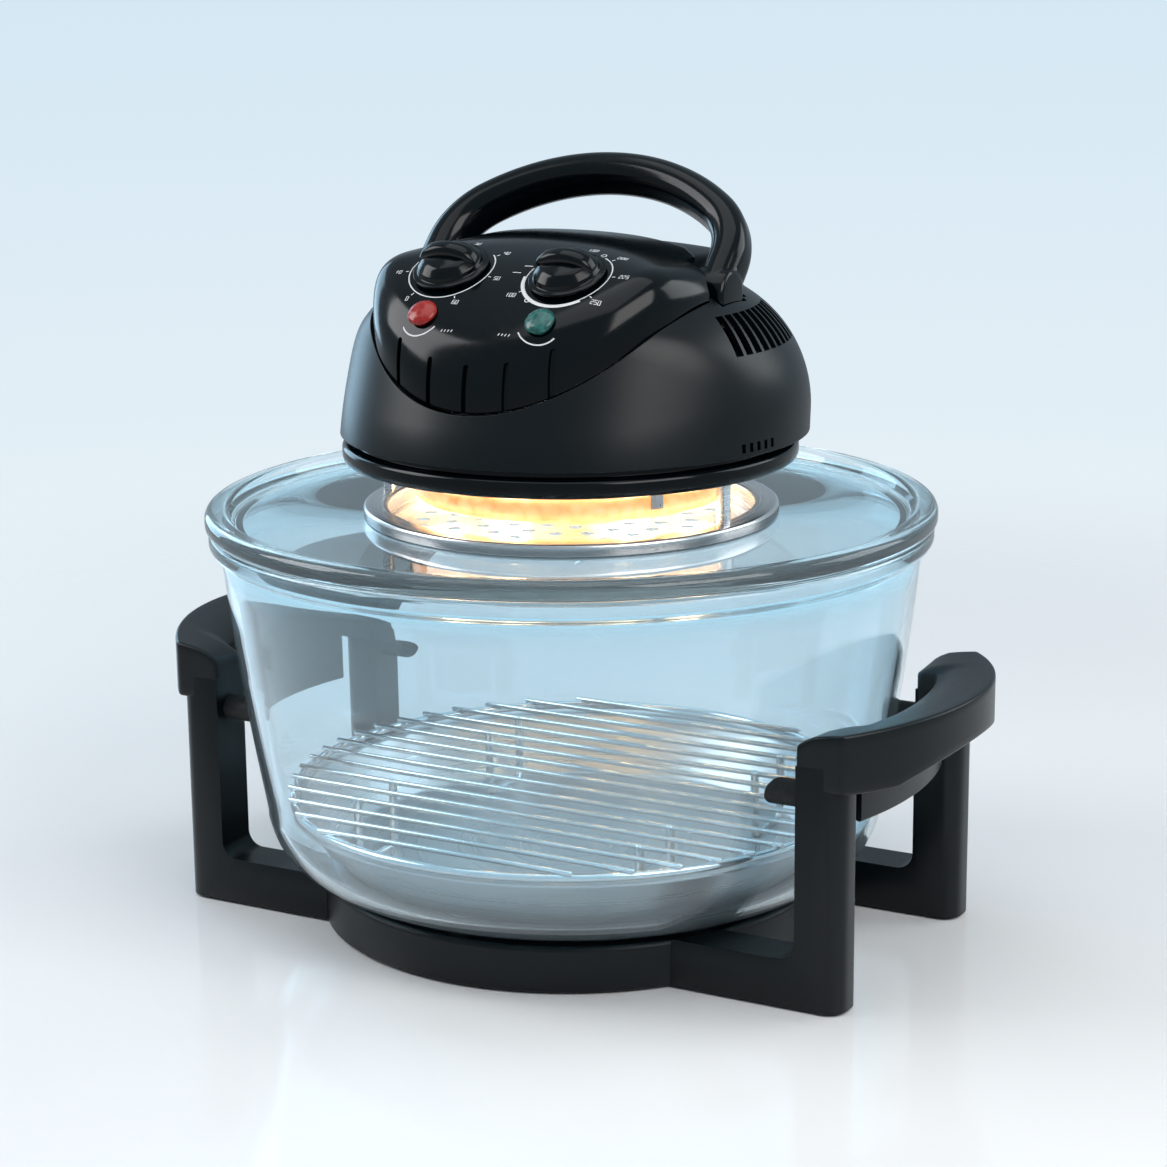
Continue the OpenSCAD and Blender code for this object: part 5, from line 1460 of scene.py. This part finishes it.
@dataclass
class Head:
    """The housing with its wells, slots and inlet seat, and the panel with its grooves."""

    form: HeadForm = field(default_factory=HeadForm)
    columns: int = 384
    wall: float = 2.5
    gap: float = 0.3
    well_r: float = 13.2
    well_in: float = 64.5
    well_out: float = 83.5
    well_wall: float = 2.0
    well_inset: float = 1.2
    leg_inset: float = 0.5
    leg_back: float = 17.6
    leg_down: float = 3.1
    louvre_w: float = 5.0
    louvre_low: float = 276.0
    louvre_h: float = 16.5
    louvre_count: int = 10
    louvre_in: float = 85.7
    louvre_from: float = -15.0
    louvre_step: float = 4.0
    vent_count: int = 5
    vent_in: float = 95.0
    vent_from: float = -18.0
    vent_step: float = 2.6
    vent_h: float = 4.0
    slot_w: float = 2.2
    slot_pitch: float = 6.0
    slot_y: tuple[float, float] = (14.0, 32.0)
    outside_r: float = 135.0
    above: float = 345.0
    spindle_r: float = 3.5
    stem_r: float = 5.9
    groove_w: float = 2.5
    groove_pitch: float = 19.3
    groove_h: float = 21.0
    groove_deep: float = 1.9
    inlet_half: float = 13.8
    inlet_up: float = 10.3
    inlet_z: float = 254.9
    inlet_y: float = 114.6
    seat_edge: float = 5.0
    seat_from: float = 100.0

    def build(self) -> None:
        """Makes and dresses the housing and the panel."""
        dress(self.housing(), "black_moulding", "lid", "housing")
        dress(self.wells(), "black_moulding", "lid")
        dress(self.inlet_seat(), "black_moulding", "lid")
        dress(self.panel(), "gloss_black", "lid", "control_panel")

    def housing(self) -> Piece:
        """The housing: the surface between the panel's edge and the foot, with a wall and slots.

        Returns:
            The new object.
        """
        form = self.form
        rays = RayField((0.0, 0.0, 250.0), (0.0, -0.5, 0.85), form.housing, self.columns)
        near = rays.edge(lambda p: form.zone(p, self.gap), 0.02, 2.2)
        far = rays.edge(lambda p: form.foot_z - p[..., 2], 0.6, 2.7)
        far = np.maximum(far, near + 0.05)
        surface = rays.patch(near, far, 100)
        piece = Patchwork().grid(surface, wrap_columns=True).mesh("housing_shell", rays.centre)
        thicken(piece, self.wall)
        bevel(piece, 0.7, 3, 50.0)
        settle(piece)
        combine(piece, self._slots() + self._well_cutters() + [self._inlet_hole()])
        return piece

    def _slots(self) -> list[Piece]:
        """Cutters for the side louvres, the foot slots and the slots on the hump.

        Returns:
            The cutters.
        """
        cutters = []
        for side in (1, -1):
            patch = Patchwork()
            for k in range(self.louvre_count):
                size = (self.louvre_in, self.louvre_w, self.louvre_h)
                angle = self.louvre_from + self.louvre_step * k
                self._radial_box(patch, side, angle, self.louvre_low, size)
            for k in range(self.vent_count):
                size = (self.vent_in, self.slot_w, self.vent_h)
                angle = self.vent_from + self.vent_step * k
                self._radial_box(patch, side, angle, self.form.foot_z + 2.0, size)
            cutters.append(patch.mesh("slots"))
        top = Patchwork()
        half = self.slot_w / 2.0
        for k in range(-6, 7):
            x = self.slot_pitch * k
            box_grid(top, (x - half, self.slot_y[0], 300.0), (x + half, self.slot_y[1], self.above))
        cutters.append(top.mesh("slots"))
        return cutters

    def _radial_box(
        self, patch: Patchwork, side: int, angle: float, low: float, size: tuple[float, float, float]
    ) -> None:
        """Adds a box that points away from the dome's axis and ends outside the housing.

        Args:
            patch: The patchwork that gets the box.
            side: 1 for the right-hand side, -1 for the left.
            angle: Its direction from +X, in degrees.
            low: Its lowest height.
            size: Its distance from the axis, its width and its height.
        """
        c, s = math.cos(math.radians(angle)), math.sin(math.radians(angle))
        near, far, half, height = size[0], self.outside_r, size[1] / 2.0, size[2]
        plan = np.array([[near, -half], [far, -half], [far, half], [near, half]])
        turned = np.column_stack([c * plan[:, 0] - s * plan[:, 1], s * plan[:, 0] + c * plan[:, 1]])
        turned = turned * [side, 1] + [0.0, self.form.dome_back]
        prism(patch, turned, low, low + height)

    def _rod(self, patch: Patchwork, side: int, low: float, high: float, radius: float) -> None:
        """Adds a rod along X about the handle's pivot.

        Args:
            patch: The patchwork that gets the rod.
            side: 1 for the right-hand side, -1 for the left.
            low: Where it starts.
            high: Where it ends.
            radius: Its radius.
        """
        ring = circle(radius, 72) + [self.form.pivot_y, self.form.pivot_z]
        rings = [np.column_stack([np.full(len(ring), side * x), ring]) for x in (low, high)]
        patch.tube(np.stack(rings))

    def _well_cutters(self) -> list[Piece]:
        """Cutters for the room round the handle's feet: a rod and two boxes above it, each side.

        Returns:
            The cutters.
        """
        pieces = []
        y, z = self.form.pivot_y, self.form.pivot_z
        for side in (1, -1):
            x0, x1 = sorted((side * self.well_in, side * self.well_out))
            rod = Patchwork()
            self._rod(rod, side, self.well_in, self.well_out, self.well_r)
            pieces.append(rod.mesh("well"))
            hair, inset = 0.02, self.leg_inset
            rooms = (
                ((x0 + hair, y - self.well_r + hair, z), (x1 - hair, y + self.well_r, self.above)),
                ((x0 + inset, y, z - self.leg_down), (x1 - inset, y + self.leg_back, self.above)),
            )
            for low, high in rooms:
                box = Patchwork()
                box_grid(box, low, high)
                pieces.append(box.mesh("well"))
        return pieces

    def _inlet_hole(self) -> Piece:
        """Cutter for the mains inlet.

        Returns:
            The cutter.
        """
        patch = Patchwork()
        half, low, high = self.inlet_half, self.inlet_z - self.inlet_up, self.inlet_z + self.inlet_up
        box_grid(patch, (-half, 70.0, low), (half, 130.0, high))
        return patch.mesh("inlet")

    def wells(self) -> Piece:
        """The walls of the wells, inside the housing: rods less smaller rods, cut off at its inner face.

        Returns:
            The new object.
        """
        columns, wall, floor = 256, self.well_wall, self.form.foot_z + 3.4

        def room(points: Array) -> Array:
            """Distance outside the room in the housing, whose floor is a little above the foot."""
            return np.maximum(self.form.housing(points) + self.well_inset, floor - points[..., 2])

        rays = RayField((0.0, 0.0, 265.0), (0.0, 0.0, 1.0), room, columns)
        surface = rays.patch(np.zeros(columns), np.full(columns, math.pi), 120)
        inner = Patchwork().grid(surface, wrap_columns=True).mesh("inner")
        walls = Patchwork()
        for side in (1, -1):
            self._rod(walls, side, self.well_in - wall, self.well_out + wall, self.well_r + wall)
        piece = walls.mesh("handle_wells")
        combine(piece, [inner], "INTERSECT")
        combine(piece, self._well_cutters())
        return piece

    def inlet_seat(self) -> Piece:
        """The flat seat round the mains inlet.

        Returns:
            The new object.
        """
        patch = Patchwork()
        half, up = self.inlet_half + self.seat_edge, self.inlet_up + self.seat_edge
        box_grid(patch, (-half, self.seat_from, self.inlet_z - up), (half, self.inlet_y, self.inlet_z + up))
        piece = patch.mesh("inlet_seat")
        bevel(piece, 1.6, 4)
        settle(piece)
        combine(piece, [self._inlet_hole()])
        return piece

    def panel(self) -> Piece:
        """The panel: the surface inside its edge, with a wall, grooves, holes and room for the handle.

        Returns:
            The new object.
        """
        form = self.form
        rays = RayField((0.0, -22.0, 255.0), (0.0, -0.45, 0.9), form.panel, self.columns)
        edge = rays.edge(form.zone, 0.02, 1.9)
        surface = rays.patch(np.zeros(self.columns), edge, 72)
        piece = Patchwork().grid(surface, wrap_columns=True).mesh("panel_shell", (0.0, -20.0, 240.0))
        thicken(piece, self.wall)
        bevel(piece, 0.5, 3, 50.0)
        settle(piece)
        combine(piece, self._grooves() + self._well_cutters() + self._holes())
        return piece

    def _front(self, x: Array, z: Array) -> Array:
        """Where the panel's form ends on lines towards -Y, found by halving the distance.

        Args:
            x: The lines' places across.
            z: Their heights.

        Returns:
            The Y at which each line leaves the form.
        """
        inside, outside = np.full(x.shape, -20.0), np.full(x.shape, -130.0)
        return halved(lambda y: self.form.panel(np.stack([x, y, z], -1)) < 0.0, inside, outside)[0]

    def _grooves(self) -> list[Piece]:
        """Cutters for the grooves: strips that follow the panel at an even depth.

        At a height z a strip reaches half(z) to each side, which is half the groove's width, and
        sqrt(half^2 - (z - start)^2) in the round top.

        Returns:
            The cutters.
        """
        pieces = []
        half = self.groove_w / 2.0
        for k in range(-2, 3):
            x = self.groove_pitch * k
            low = self.form.seam_z - math.sqrt(self.form.seam_r**2 - x * x)
            start = low + self.groove_h - half
            turn = np.radians(np.linspace(0.0, 84.0, 8))
            height = np.concatenate([np.linspace(low - 3.0, start, 24)[:-1], start + half * np.sin(turn)])
            reach = half * np.sqrt(1.0 - (np.maximum(height - start, 0.0) / half) ** 2)
            sides = x + reach[:, None] * np.array([-1.0, 1.0, 1.0, -1.0])
            level = height[:, None] + 0.0 * sides
            depth = self._front(sides, level) + np.array([-5.0, -5.0, 0.0, 0.0]) + self.groove_deep
            rows = np.stack([sides, depth, level], -1)
            pieces.append(Patchwork().tube(rows).mesh("groove"))
        return pieces

    def _holes(self) -> list[Piece]:
        """Cutters for the holes under the knobs and the lamp lenses.

        Returns:
            The cutters.
        """
        pieces = []
        for x in (-self.form.dial_x, self.form.dial_x):
            for y, radius in ((self.form.dial_y, self.spindle_r), (self.form.lens_y, self.stem_r)):
                face = Face(x, y, self.form)
                ring = np.column_stack([circle(radius, 48), np.zeros(48)])
                rings = [face.place(ring + [0.0, 0.0, z]) for z in (-15.0, 15.0)]
                pieces.append(Patchwork().tube(np.stack(rings)).mesh("hole"))
        return pieces


# ---------------------------------------------------------------- controls


@dataclass
class Controls:
    """The two knobs, the two lamp lenses and the print round them."""

    form: HeadForm = field(default_factory=HeadForm)
    knob_r: float = 17.5
    knob_h: float = 12.8
    cap_r: float = 14.6
    lift: float = 1.0
    fin_w: float = 8.4
    lens_r: float = 6.8
    ring_r: float = 19.9

    def build(self) -> None:
        """Makes and dresses the controls."""
        for side, name in ((1, "temperature"), (-1, "timer")):
            knob = self.knob(f"{name}_knob_cap", side)
            dress(knob, "gloss_black", f"{name}_control", f"{name}_knob")
        for side, colour in ((-1, "red_lens"), (1, "green_lens")):
            dress(self.lens(f"{colour}_cap", side), colour, "lid", colour)
        self.marks()

    def knob(self, name: str, side: int) -> Piece:
        """A knob: a skirt and a dome, with a rounded bar across it.

        The bar's section at a place along it is a half ellipse on upright sides, and its height falls
        with the square of the distance from the middle.

        Args:
            name: The object's name.
            side: 1 for the right-hand knob, -1 for the left.

        Returns:
            The new object.
        """
        face = Face(side * self.form.dial_x, self.form.dial_y, self.form)
        profile = rounded(
            [
                (0.0, 0.0, 0.0), (self.knob_r, 0.0, 0.2), (self.knob_r, 1.1, 0.4),
                (self.cap_r + 0.6, 1.5, 0.8), (self.cap_r, 3.6, 1.6), (self.cap_r - 3.4, 7.2, 5.0),
                (5.0, 8.3, 6.0), (0.0, 8.4, 0.0),
            ],
            closed=False,
            steps=8,
        )
        skirt = face.place(revolve(profile, 96) + [0.0, 0.0, self.lift])
        piece = Patchwork().grid(skirt, wrap_columns=True).mesh(name)
        along = np.linspace(-1.0, 1.0, 41)
        reach = self.cap_r - 0.2
        half = (self.fin_w / 2.0) * (1.0 - np.abs(along) ** 6 * 0.45)
        height = self.knob_h * (1.0 - 0.33 * along**2 - 0.30 * np.abs(along) ** 8)
        angle = np.linspace(0.0, math.pi, 17)
        across = np.concatenate([[1.0], np.sign(np.cos(angle)) * np.abs(np.cos(angle)) ** 0.6, [-1.0]])
        up = np.concatenate([[0.0], 0.62 + 0.38 * np.sin(angle) ** 0.8, [0.0]])
        length = reach * along[:, None] + 0.0 * across
        rows = np.stack([length, half[:, None] * across, height[:, None] * up + 0.1], -1)
        rows = face.place(rows + [0.0, 0.0, self.lift])
        bar = Patchwork().tube(rows).mesh("bar")
        combine(piece, [bar], "UNION", 30.0)
        return piece

    def lens(self, name: str, side: int) -> Piece:
        """A lamp lens: a low dome with a stem, turned about its own axis.

        Args:
            name: The object's name.
            side: 1 for the right-hand lens, -1 for the left.

        Returns:
            The new object.
        """
        face = Face(side * self.form.dial_x, self.form.lens_y, self.form)
        angle = np.radians(np.linspace(90.0, 8.0, 12))
        reach = self.lens_r / math.cos(angle[-1])
        dome = np.column_stack([reach * np.cos(angle), 1.0 + 2.6 * np.sin(angle)])
        stem = self.lens_r - 1.0
        edge = np.array([[self.lens_r, 0.5], [stem, 0.5], [stem, -4.0], [0.0, -4.0]])
        dome[0, 0] = 0.0
        points = face.place(revolve(np.concatenate([dome, edge]), 64))
        return Patchwork().grid(points, wrap_columns=True).mesh(name)

    def marks(self) -> None:
        """The rings, ticks and figures printed round the knobs, and the arcs under the lenses."""
        x, y, lens_y = self.form.dial_x, self.form.dial_y, self.form.lens_y
        timer, heat = Face(-x, y, self.form), Face(x, y, self.form)
        patch = Patchwork()
        self._arc(patch, timer, self.ring_r, 100.0, 405.0, 0.55)
        self._arc(patch, heat, self.ring_r, 130.0, 420.0, 0.55)
        self._arc(patch, heat, self.ring_r + 0.7, 185.0, 310.0, 1.5)
        for k in range(7):
            self._dial(patch, timer, 240.0 - 50.0 * k, str(10 * k))
        self._dial(patch, heat, 215.0, "100")
        for k, figure in enumerate(("250", "225", "200", "150")):
            self._dial(patch, heat, 42.0 * k - 37.0, figure)
        for side in (-1, 1):
            lens = Face(side * x, lens_y, self.form)
            self._arc(patch, lens, self.lens_r + 3.6, 215.0, 325.0, 0.6)
            self._row(patch, lens, -side * 12.6, -side * 1.7)
        for k in range(4):
            start = np.array([-18.5 - 3.2 * k, 17.5 - 5.6 * k])
            self._strip(patch, heat, start + np.array([[0.0, 0.0], [2.0, 0.0], [4.0, 0.0]]), 0.5)
        for turn in (236.0, 68.0):
            spot = self.ring_r * np.array([math.cos(math.radians(turn)), math.sin(math.radians(turn))])
            small = np.vstack([circle(1.25, 14), circle(1.25, 14)[:1]])
            self._strip(patch, heat, spot * 1.07 + small, 0.4)
        piece = patch.mesh("panel_print", (0.0, -20.0, 200.0))
        piece.data.materials.append(PRINT.material())
        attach(piece, "lid")
        LOG.info("%s: %d faces", piece.name, len(piece.data.polygons))

    def _row(self, patch: Patchwork, face: Face, x: float, step: float) -> None:
        """Adds a row of four short slanted ticks beside a lens's arc."""
        for k in range(4):
            start = np.array([x + step * k, -self.lens_r - 1.6])
            self._strip(patch, face, start + np.array([[0.0, 0.0], [0.25, 0.55], [0.5, 1.1]]), 0.4)

    def _dial(self, patch: Patchwork, face: Face, angle: float, figure: str) -> None:
        """Adds a tick outside the ring and a figure beyond it.

        Args:
            patch: The print's patchwork.
            face: The knob's face.
            angle: The tick's direction, in degrees.
            figure: The figure's digits.
        """
        turn = math.radians(angle)
        way = np.array([math.cos(turn), math.sin(turn)])
        self._strip(patch, face, np.linspace(way * (self.ring_r + 1.0), way * (self.ring_r + 2.6), 3), 0.45)
        middle = way * (self.ring_r + 4.6 + 0.7 * len(figure) * abs(way[0]))
        for k, digit in enumerate(figure):
            start = middle + [(k - (len(figure) - 1) / 2.0) * 1.7, 0.0]
            for stroke in FIGURES[digit]:
                self._strip(patch, face, start + (np.array(stroke, float) - [0.5, 1.0]) * [1.1, 1.15], 0.32)

    def _arc(
        self, patch: Patchwork, face: Face, radius: float, start: float, end: float, width: float
    ) -> None:
        """Adds a printed arc about a face's middle, with its angles in degrees."""
        turn = np.radians(np.linspace(start, end, max(int(abs(end - start) / 3.0), 6)))
        self._strip(patch, face, radius * np.column_stack([np.cos(turn), np.sin(turn)]), width)

    def _strip(self, patch: Patchwork, face: Face, path: Array, width: float) -> None:
        """Adds a flat strip along a path on the panel, a little above its surface.

        Args:
            patch: The print's patchwork.
            face: The face whose plane the path lies in.
            path: Points in that plane.
            width: The strip's width.
        """
        tangent = np.gradient(path, axis=0)
        tangent /= np.maximum(np.linalg.norm(tangent, axis=1, keepdims=True), 1e-9)
        side = np.column_stack([-tangent[:, 1], tangent[:, 0]]) * width / 2.0
        rows = np.stack([path - side, path + side])
        flat = face.place(np.concatenate([rows, np.zeros(rows.shape[:2] + (1,))], -1))
        top = self.form.on_panel(flat, face.normal) + face.normal * 0.07
        base = top - face.normal * 0.12
        loop = np.concatenate([top, base[::-1]])
        patch.grid(loop, wrap_rows=True)
        for end in (0, -1):
            patch.grid(np.stack([loop[[0, 1], end], loop[[3, 2], end]]))


FIGURES: dict[str, list[list[tuple[float, float]]]] = {
    "0": [[(0, 0), (1, 0), (1, 2), (0, 2), (0, 0)]],
    "1": [[(0.5, 0), (0.5, 2)]],
    "2": [[(0, 2), (1, 2), (1, 1), (0, 1), (0, 0), (1, 0)]],
    "3": [[(0, 2), (1, 2), (1, 0), (0, 0)], [(0.2, 1), (1, 1)]],
    "4": [[(0, 2), (0, 1), (1, 1)], [(1, 2), (1, 0)]],
    "5": [[(1, 2), (0, 2), (0, 1), (1, 1), (1, 0), (0, 0)]],
    "6": [[(1, 2), (0, 2), (0, 0), (1, 0), (1, 1), (0, 1)]],
}


# ---------------------------------------------------------------- handle


@dataclass
class Handle:
    """The carrying handle: a bow on two legs, with round feet on the pivots."""

    half: float = 74.0
    thick: float = 16.6
    width: float = 22.0
    leg: float = 16.5
    corner_r: float = 36.0
    bow_r: float = 98.04
    bow_c: float = -49.04
    bow_angle: float = 37.77
    lean: float = 45.0
    pivot: tuple[float, float, float] = (0.0, 2.0, 299.1)
    foot_r: float = 11.5
    foot_half: float = 8.6

    def build(self) -> None:
        """Makes and dresses the handle."""
        dress(self.bar(), "gloss_black", "carry_handle", "handle")

    def path(self) -> Array:
        """The bar's middle line: a leg, a corner arc, the bow's arc, a corner arc and a leg.

        Returns:
            Points in X and Z, with the shape count, 2.
        """
        leg = np.column_stack([np.full(8, self.half), np.linspace(0.0, self.leg, 8)])
        corner = np.radians(np.linspace(0.0, 90.0 - self.bow_angle, 25))[1:, None]
        middle = [self.half - self.corner_r, self.leg]
        turn = np.hstack([np.cos(corner), np.sin(corner)]) * self.corner_r + middle
        bow = np.radians(np.linspace(90.0 - self.bow_angle, 90.0, 31))[1:, None]
        arch = np.hstack([np.cos(bow), np.sin(bow)]) * self.bow_r + [0.0, self.leg + self.bow_c]
        right = np.concatenate([leg, turn, arch])
        return np.concatenate([right, right[::-1][1:] * [-1.0, 1.0]])

    def bar(self) -> Piece:
        """A stadium carried along the path, joined to two discs at the pivots.

        Returns:
            The new object.
        """
        line = self.path()
        points = np.column_stack([line[:, 0], np.zeros(len(line)), line[:, 1]])
        half, flat = self.thick / 2.0, (self.width - self.thick) / 2.0
        angle = np.radians(np.linspace(0.0, 180.0, 17))
        top = np.column_stack([half * np.cos(angle), flat + half * np.sin(angle)])
        section = np.concatenate([top, -top])
        rings = sweep(points, section, (0.0, 1.0, 0.0))
        bar = Patchwork().tube(from_x(rings, self.pivot, self.lean)).mesh("handle_bar")
        feet = []
        for side in (1, -1):
            x0, x1 = self.half - self.foot_half, self.half + self.foot_half
            side_line = [(0.0, x0, 0.0), (self.foot_r, x0, 2.4), (self.foot_r, x1, 2.4), (0.0, x1, 0.0)]
            turned = revolve(rounded(side_line, closed=False), 72)
            disc = np.stack([side * turned[..., 2], turned[..., 0], turned[..., 1]], -1)
            feet.append(Patchwork().grid(disc + np.array(self.pivot), wrap_columns=True).mesh("foot"))
        combine(bar, feet, "UNION", 40.0)
        return bar


# ---------------------------------------------------------------- studio


@dataclass
class Softbox:
    """A soft rectangular lamp that faces a place on the oven."""

    name: str
    place: tuple[float, float, float]
    aim: tuple[float, float, float]
    size: tuple[float, float]
    power: float
    colour: Colour = (1.0, 1.0, 1.0)

    def build(self) -> None:
        """Adds the lamp."""
        data = bpy.data.lights.new(self.name, "AREA")
        data.shape = "RECTANGLE"
        data.size, data.size_y = self.size
        data.energy = self.power
        data.color = self.colour
        lamp = bpy.data.objects.new(self.name, data)
        lamp.location = self.place
        lamp.rotation_euler = (Vector(self.aim) - Vector(self.place)).to_track_quat("-Z", "Y").to_euler()
        bpy.context.scene.collection.objects.link(lamp)


@dataclass
class Studio:
    """The floor, the backdrop, the lamps and the camera."""

    spot: tuple[float, float, float] = (0.6362, -1.1444, 0.4784)
    heading: float = 29.069
    pan: float = 0.23
    tilt: float = 13.74
    roll: float = -0.58
    lens: float = 88.5
    backdrop_low: Colour = (0.88, 0.92, 0.94)
    backdrop_high: Colour = (0.64, 0.79, 0.90)
    through: Colour = (0.62, 0.86, 0.98)
    room: Colour = (0.80, 0.90, 1.0)
    floor_colour: Colour = (0.86, 0.87, 0.88)
    floor_rings: tuple[float, ...] = (0.0, 300.0, 700.0, 1500.0, 3000.0)
    fade: tuple[float, float] = (0.35, 1.1)

    def build(self) -> None:
        """Makes the studio."""
        self.floor()
        self.world()
        self.camera()
        for box in (
            Softbox("key_box", (-1.3, -0.6, 1.1), (0.0, 0.0, 0.2), (0.9, 1.0), 15.0),
            Softbox("right_box", (1.15, -0.4, 1.0), (0.0, 0.0, 0.25), (1.0, 0.8), 12.0, (1.0, 0.97, 0.94)),
            Softbox("blue_box", (-1.4, 0.6, 0.55), (0.0, 0.0, 0.25), (0.6, 1.0), 6.0, (0.5, 0.78, 1.0)),
            Softbox("rear_box", (1.3, 1.2, 1.0), (0.0, 0.0, 0.2), (1.1, 1.0), 10.0, (0.92, 0.97, 1.0)),
            Softbox("top_box", (0.0, -0.2, 1.9), (0.0, 0.0, 0.0), (1.6, 1.6), 10.0),
        ):
            box.build()
        bpy.context.scene.view_settings.view_transform = "Standard"

    def floor(self) -> None:
        """A round floor that fades into the backdrop with the distance from the oven."""
        rings = np.column_stack([self.floor_rings, np.zeros(len(self.floor_rings))])
        points = revolve(rings, 96)
        piece = Patchwork().grid(points, wrap_columns=True).mesh("floor", (0.0, 0.0, -100.0))
        material = bpy.data.materials.new("studio floor")
        tree = NodeTree(material)
        shader = tree.nodes["Principled BSDF"]
        colour = (*self.floor_colour, 1.0)
        tree.fill(shader, {"Base Color": colour, "Roughness": 0.12, "Specular IOR Level": 0.34})
        place = tree.add("TexCoord")["Object"]
        length = tree.add("VectorMath", {0: place}, "LENGTH")["Value"]
        fade = tree.nodes.new("ShaderNodeMapRange")
        fade.interpolation_type = "SMOOTHSTEP"
        tree.fill(fade, {"From Min": self.fade[0], "From Max": self.fade[1], "Value": length})
        clear = tree.add("BsdfTransparent")[0]
        mixed = tree.add("MixShader", {0: fade.outputs["Result"], 1: shader.outputs[0], 2: clear})[0]
        tree.fill(tree.nodes["Material Output"], {"Surface": mixed})
        piece.data.materials.append(material)

    def world(self) -> None:
        """A pale blue backdrop, with a dimmer room for what is only lit by it."""
        world = bpy.data.worlds.new("studio")
        bpy.context.scene.world = world
        tree = NodeTree(world)
        way = tree.add("TexCoord")["Generated"]
        rise = {"From Min": -0.34, "From Max": 0.0, "Value": tree.add("SeparateXYZ", {0: way})["Z"]}
        tint = tree.blend(tree.add("MapRange", rise)["Result"], self.backdrop_low, self.backdrop_high)
        seen = tree.add("Background", {"Color": tint})[0]
        gloss = tree.add("Background", {"Color": tint, "Strength": 0.5})[0]
        through = tree.add("Background", {"Color": (*self.through, 1.0)})[0]
        light = tree.add("Background", {"Color": (*self.room, 1.0), "Strength": 0.3})[0]
        rays = tree.add("LightPath")
        for kind, shader in (("Glossy", gloss), ("Transmission", through), ("Camera", seen)):
            light = tree.add("MixShader", {0: rays[f"Is {kind} Ray"], 1: light, 2: shader})[0]
        tree.fill(tree.nodes["World Output"], {"Surface": light})

    def camera(self) -> None:
        """The camera: its view direction is panned and tilted from the heading, then rolled."""
        pan, tilt, roll = (math.radians(a) for a in (self.pan, self.tilt, self.roll))
        ahead = Vector((math.sin(pan) * math.cos(tilt), math.cos(pan) * math.cos(tilt), -math.sin(tilt)))
        ahead = Matrix.Rotation(math.radians(self.heading), 3, "Z") @ ahead
        right = ahead.cross(Vector((0.0, 0.0, 1.0))).normalized()
        up = right.cross(ahead)
        c, s = math.cos(roll), math.sin(roll)
        turned = Matrix((c * right + s * up, c * up - s * right, -ahead)).transposed()
        data = bpy.data.cameras.new("camera")
        data.lens = self.lens
        data.sensor_width = 36.0
        data.clip_start, data.clip_end = 0.05, 20.0
        camera = bpy.data.objects.new("camera", data)
        camera.matrix_world = Matrix.Translation(self.spot) @ turned.to_4x4()
        bpy.context.scene.collection.objects.link(camera)
        bpy.context.scene.camera = camera


def dress_solids(frame: dict) -> None:
    """Gives every solid of the frame its slot's finish.
    """
    for name, node in frame["nodes"].items():
        slot = node.data.materials[0].name.split(".")[0] if node.data.materials else "black_moulding"
        finish = FINISHES.get(slot, FINISHES["black_moulding"])
        node.data.materials.clear()
        node.data.materials.append(finish.material())
        LOG.info("%s: finish %s", name, finish.name)


def main() -> None:
    """Builds the oven and the studio."""
    logging.basicConfig(level=logging.INFO, format="%(message)s")
    for item in list(bpy.data.objects):
        bpy.data.objects.remove(item)
    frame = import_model()
    dress_solids(frame)
    for part in (Stand(), Bowl(), Tray(), Rack(), Lid(), Head(), Controls(), Handle()):
        part.build()
        LOG.info("%s is built", type(part).__name__)
    Studio().build()


if __name__ == "__main__":
    main()
